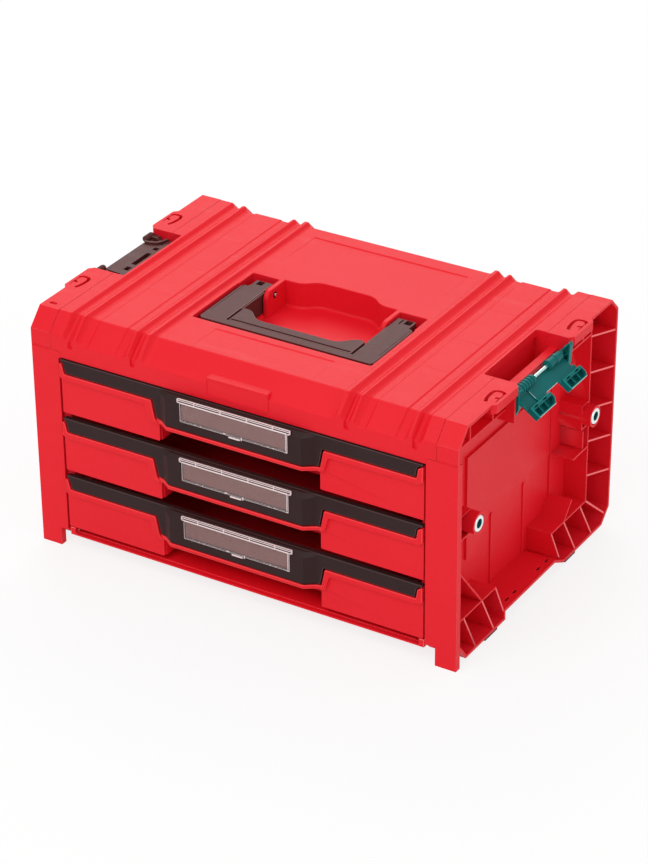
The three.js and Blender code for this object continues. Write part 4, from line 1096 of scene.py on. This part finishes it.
# Outlines of the front, as (x, z). Each ring of the bar has the x and y of its front, the x
# and y of its root and the heights of both
panels = {
    "right": [
        (85.5, 147), (191.0, 147), (191.2, 201.2), (186.3, 198.6), (184.9, 188.7), (90.6, 188.7),
        (86.9, 170), (85.5, 166.2),
    ],
    "left": [
        (-193.2, 147), (-85.5, 147), (-85.5, 166.2), (-88.6, 170), (-92.4, 188.7),
        (-188.4, 188.7), (-190.8, 198.6), (-193.4, 199.8),
    ],
}
fields = {
    "right": [
        (80, 140), (198, 140), (198, 193), (187.8, 182.9), (95.2, 182.9), (91.2, 168), (88, 166.4),
        (80, 166.4),
    ],
    "left": [
        (-198, 140), (-80, 140), (-80, 166.4), (-90, 166.4), (-93.6, 168), (-98.0, 182.7),
        (-190.4, 182.7), (-198, 189.5),
    ],
}
trim_outline = [
    (-86.3, 171.4), (85.2, 171.4), (89.0, 190), (183.4, 190), (184.9, 198.4), (187.3, 201.3),
    (191.0, 201.9), (191.0, 203.6), (-192.2, 203.6), (-192.2, 201.9), (-190, 200.9),
    (-188.7, 198.4), (-186.6, 190), (-90.6, 190),
]
trim_corners = [0.9] * 6 + [0.8] * 4 + [0.9] * 4
bar_rings = [
    (71.6, -8.65, 84.2, 0.2, 171.4, 171.4), (72, -9.15, 84.7, 0, 171.9, 171.9),
    (72, -9.15, 84.7, 0, 197.9, 200.0), (71.9, -8.95, 84.5, -0.1, 198.7, 200.6),
    (70.2, -5.2, 82.2, -1.6, 202.5, 202.8), (69.8, -4.4, 81.6, -1.7, 203.1, 203.3),
]

# Spans in x and in z
card_span = (-55.2, 56.6, 181.9, 198.4)
card_place = (-54.5, 55.9, 182.6, 198.0)
pane_span = (-55.6, 58.0, 180.5, 199.6)
flap_root, flap_press = -8.2, 0.56
# The tray's second red is paler, a highlight painted on its rounded edges
tray_red = moulding("tray_red", red_colour, (0.93, 0.045, 0.05), 0.45, 0.40, red_shine, red_tint)


def tray_piece():
    """The box, its slides, the shell behind the finger recess, two front panels and the lip."""
    low, high = (-tray_half, panel_back, drawer_foot), (tray_half, tray_rear, tray_rim)
    tray = crate("tray", low, high, 0.8, tray_red)
    low = (-tray_half + tray_wall, panel_back + tray_wall, drawer_foot + tray_wall)
    high = (tray_half - tray_wall, tray_rear - tray_wall, tray_rim + 5)
    carve(tray, crate("tray_space", low, high, 1.5, tray_red))
    low, high = (-tray_half, panel_back - 0.5, drawer_foot), (tray_half, front_wall_rear, 200)
    join(tray, crate("front_wall", low, high, 0.3, tray_red))
    for sign in (-1, 1):
        low_x, high_x = span(sign, tray_half - tray_wall, slide_half)
        low = (low_x, front_wall_rear, tray_rim - slide_thickness)
        rim = crate("rim", low, (high_x, tray_rear, tray_rim), 0.3, tray_red)
        join(tray, rim)
    low = (-finger_half - tray_wall, panel_back, drawer_foot)
    high = (finger_half + tray_wall, finger_depth + tray_wall, lip_low + tray_wall)
    join(tray, crate("finger_shell", low, high, 0.3, tray_red))
    for side in sign_of:
        outline = rounded(panels[side], 1.2, 4)
        join(tray, slab("panel", outline, frame_face, panel_back, 0.8, "y", tray_red))
        outline = rounded(fields[side], 2.2, 4)
        carve(tray, recess("field", outline, -field_face, -frame_face, 0.7, 0.7, 0.4, "y"))
    plan = [(-finger_half - 3, panel_back + 0.4), (-finger_half - 3, frame_face + 1.5)]
    plan += [(-81.5, frame_face), (-72, -9.15), (72, -9.15), (81.5, frame_face)]
    plan += [(finger_half + 3, frame_face + 1.5), (finger_half + 3, panel_back + 0.4)]
    lip = slab("lip", rounded(plan, 1.1, 3), lip_low, lip_high, 0.9, "z", tray_red)
    join(tray, lip)
    low, high = (-finger_half, -15, drawer_foot - 5), (finger_half, finger_depth, lip_low)
    carve(tray, crate("finger_room", low, high, 0.5, tray_red))
    tidy(tray)
    return tray


def trim_piece():
    """The trim's plate, with the bar lofted through its rings and the label's recess cut in."""
    outline = rounded(trim_outline, trim_corners, 4)
    trim = slab("trim", outline, trim_face, trim_back, 0.6, "y", dark)
    rings = []
    for front_x, front_y, root_x, root_y, front_z, root_z in bar_rings:
        rings.append([
            (-root_x, trim_back - 0.5, root_z), (-root_x, root_y, root_z),
            (-front_x, front_y, front_z), (front_x, front_y, front_z),
            (root_x, root_y, root_z), (root_x, trim_back - 0.5, root_z),
        ])
    join(trim, loft("bar", rings, dark))
    carve(trim, slab("card_space", eased_oblong(*card_span), -12, -8.1, 0, "y", dark))
    tidy(trim, 24)
    return trim


def pressed(place):
    """Draws places in front of the bar closer to it, so that the flap lies within the case."""
    y = flap_root + flap_press * (place[:, 1] - flap_root)
    return np.stack((place[:, 0], y, place[:, 2]), -1)


def highlight_strips(strips):
    """Small blocks given by their spans along x, z and y and the length of their edges, in the
    pale material that paints highlights on the clear parts.
    """
    for low_x, high_x, low_z, high_z, low_y, high_y, edge in strips:
        outline = eased_oblong(low_x, high_x, low_z, high_z, edge)
        yield tinted(slab("bright", outline, low_y, high_y, edge, "y", clear), 1)


def clear_piece(name, parts):
    """One clear piece of several parts, drawn in towards the bar."""
    piece = joined(name, parts)
    reshaped(piece, pressed)
    piece.data.shade_smooth()
    piece.data.set_sharp_from_angle(angle=math.radians(40))
    return piece


def rail_piece():
    """The clear rail over the flap: two rods, four links and the tabs at its ends, all in the pale
    material that paints their highlights.
    """
    low, high = pane_span[:2]
    strips = [
        (low - 2.5, high + 2.5, 201.5, 202.3, -10.6, -9.6, 0.3),
        (low - 2.5, high + 2.5, 202.9, 203.5, -9.9, -7.6, 0.25),
    ]
    strips += [(x, x + 1.1, 201.9, 203.1, -10.9, -9.8, 0.2) for x in (-41, -13, 15, 42)]
    strips += [(x, x + 0.8, 199.6, 203.4, -11.0, -8.4, 0.3) for x in (low - 2.9, high + 2.2)]
    return clear_piece("rail", list(highlight_strips(strips)))


def flap_piece():
    """The pane, with its hinge bead, lines along its edges, four pips and the tab in the pale
    material that paints their highlights.
    """
    pane = slab("pane", eased_oblong(*pane_span), -10.9, -10.1, 0.2, "y", clear)
    low, high = pane_span[:2]
    strips = [
        (low + 0.4, high - 0.4, 199.2, 200.5, -11.5, -10.2, 0.4),
        (high - 1.9, high - 1.3, 182.0, 199.4, -11.3, -10.9, 0.15),
        (high - 0.6, high, 181.0, 199.0, -11.3, -10.2, 0.2),
        (high - 3.0, high - 0.2, 180.5, 181.1, -11.3, -10.2, 0.2),
        (low, low + 0.15, 181.0, 199.0, -11.2, -10.2, 0.05),
        (low + 0.5, high - 3.0, 182.0, 182.12, -11.0, -10.8, 0.03),
        (-3.8, 8.2, 178.9, 180.2, -12.3, -10.3, 0.5),
        (9.4, 10.4, 179.4, 182.6, -11.8, -10.3, 0.3),
        (-9.6, -6.6, 181.3, 182.2, -11.6, -10.3, 0.3),
    ]
    strips += [(x, x + 1.1, 200.3, 201.3, -10.9, -9.8, 0.2) for x in (-41, -13, 15, 42)]
    strips += [(x, x + 1.9, 199.2, 200.2, -11.0, -9.0, 0.3) for x in (low - 1.9, high)]
    strips += [(x, x + 1.2, 180.7, 181.8, -11.6, -10.6, 0.5) for x in (-40.2, -34, 37, 43)]
    return clear_piece("flap", [pane, *highlight_strips(strips)])


card_finish = Finish("card", Roughness=0.75, Specular_IOR_Level=0.15)
card_finish.set(Base_Color=card_finish.blend(
    card_finish.noise(0.02, 4, (0.3, 1, 1)), (0.172, 0.066, 0.060), (0.200, 0.082, 0.074)
))
clear = []
# The pane is nearly clear; the edge material is a nearly opaque pale pink that paints the
# highlights of the clear parts
clear_tints = {"pane": ((0.75, 0.66, 0.65), 0.07), "edge": ((0.90, 0.74, 0.74), 0.92)}
for part, (tint, solid) in clear_tints.items():
    finish = Finish(f"clear_{part}", Base_Color=tint, Roughness=0.12, Specular_IOR_Level=0.5)
    finish.set(Alpha=solid + (finish.noise(0.004, 2) - 0.5) * 0.1)
    clear.append(finish.material)

tray, trim, rail, flap = tray_piece(), trim_piece(), rail_piece(), flap_piece()
card = slab("card", eased_oblong(*card_place, 0.5), -8.9, -8.4, 0.1, "y", [card_finish.material])
for step, level in enumerate(levels):
    for piece, node, body, slot in (
        (tray, "drawer_tray", "drawer", "red_moulding"),
        (trim, "drawer_front_trim", "drawer", "dark_moulding"),
        (card, "label_card", "drawer", "label_card"),
        (rail, "label_rail", "drawer", "clear_flap"),
        (flap, "label_flap", "flap", "clear_flap"),
    ):
        copy = lowered(piece, f"{node}_{level}_skin", step * drawer_pitch)
        shown(copy, f"{body}_{level}", slot, *{f"{node}_{level}"} & set(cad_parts))
for piece in (tray, trim, card, rail, flap):
    bpy.data.meshes.remove(piece.data)


# Sizes
# The box of the toolbox's solids and the box of all its dressed pieces are written side by
# side, in metres, so that the two can be compared.

low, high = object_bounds()
{"cad": [list(cad_low), list(cad_high)], "visual": [list(low), list(high)]}
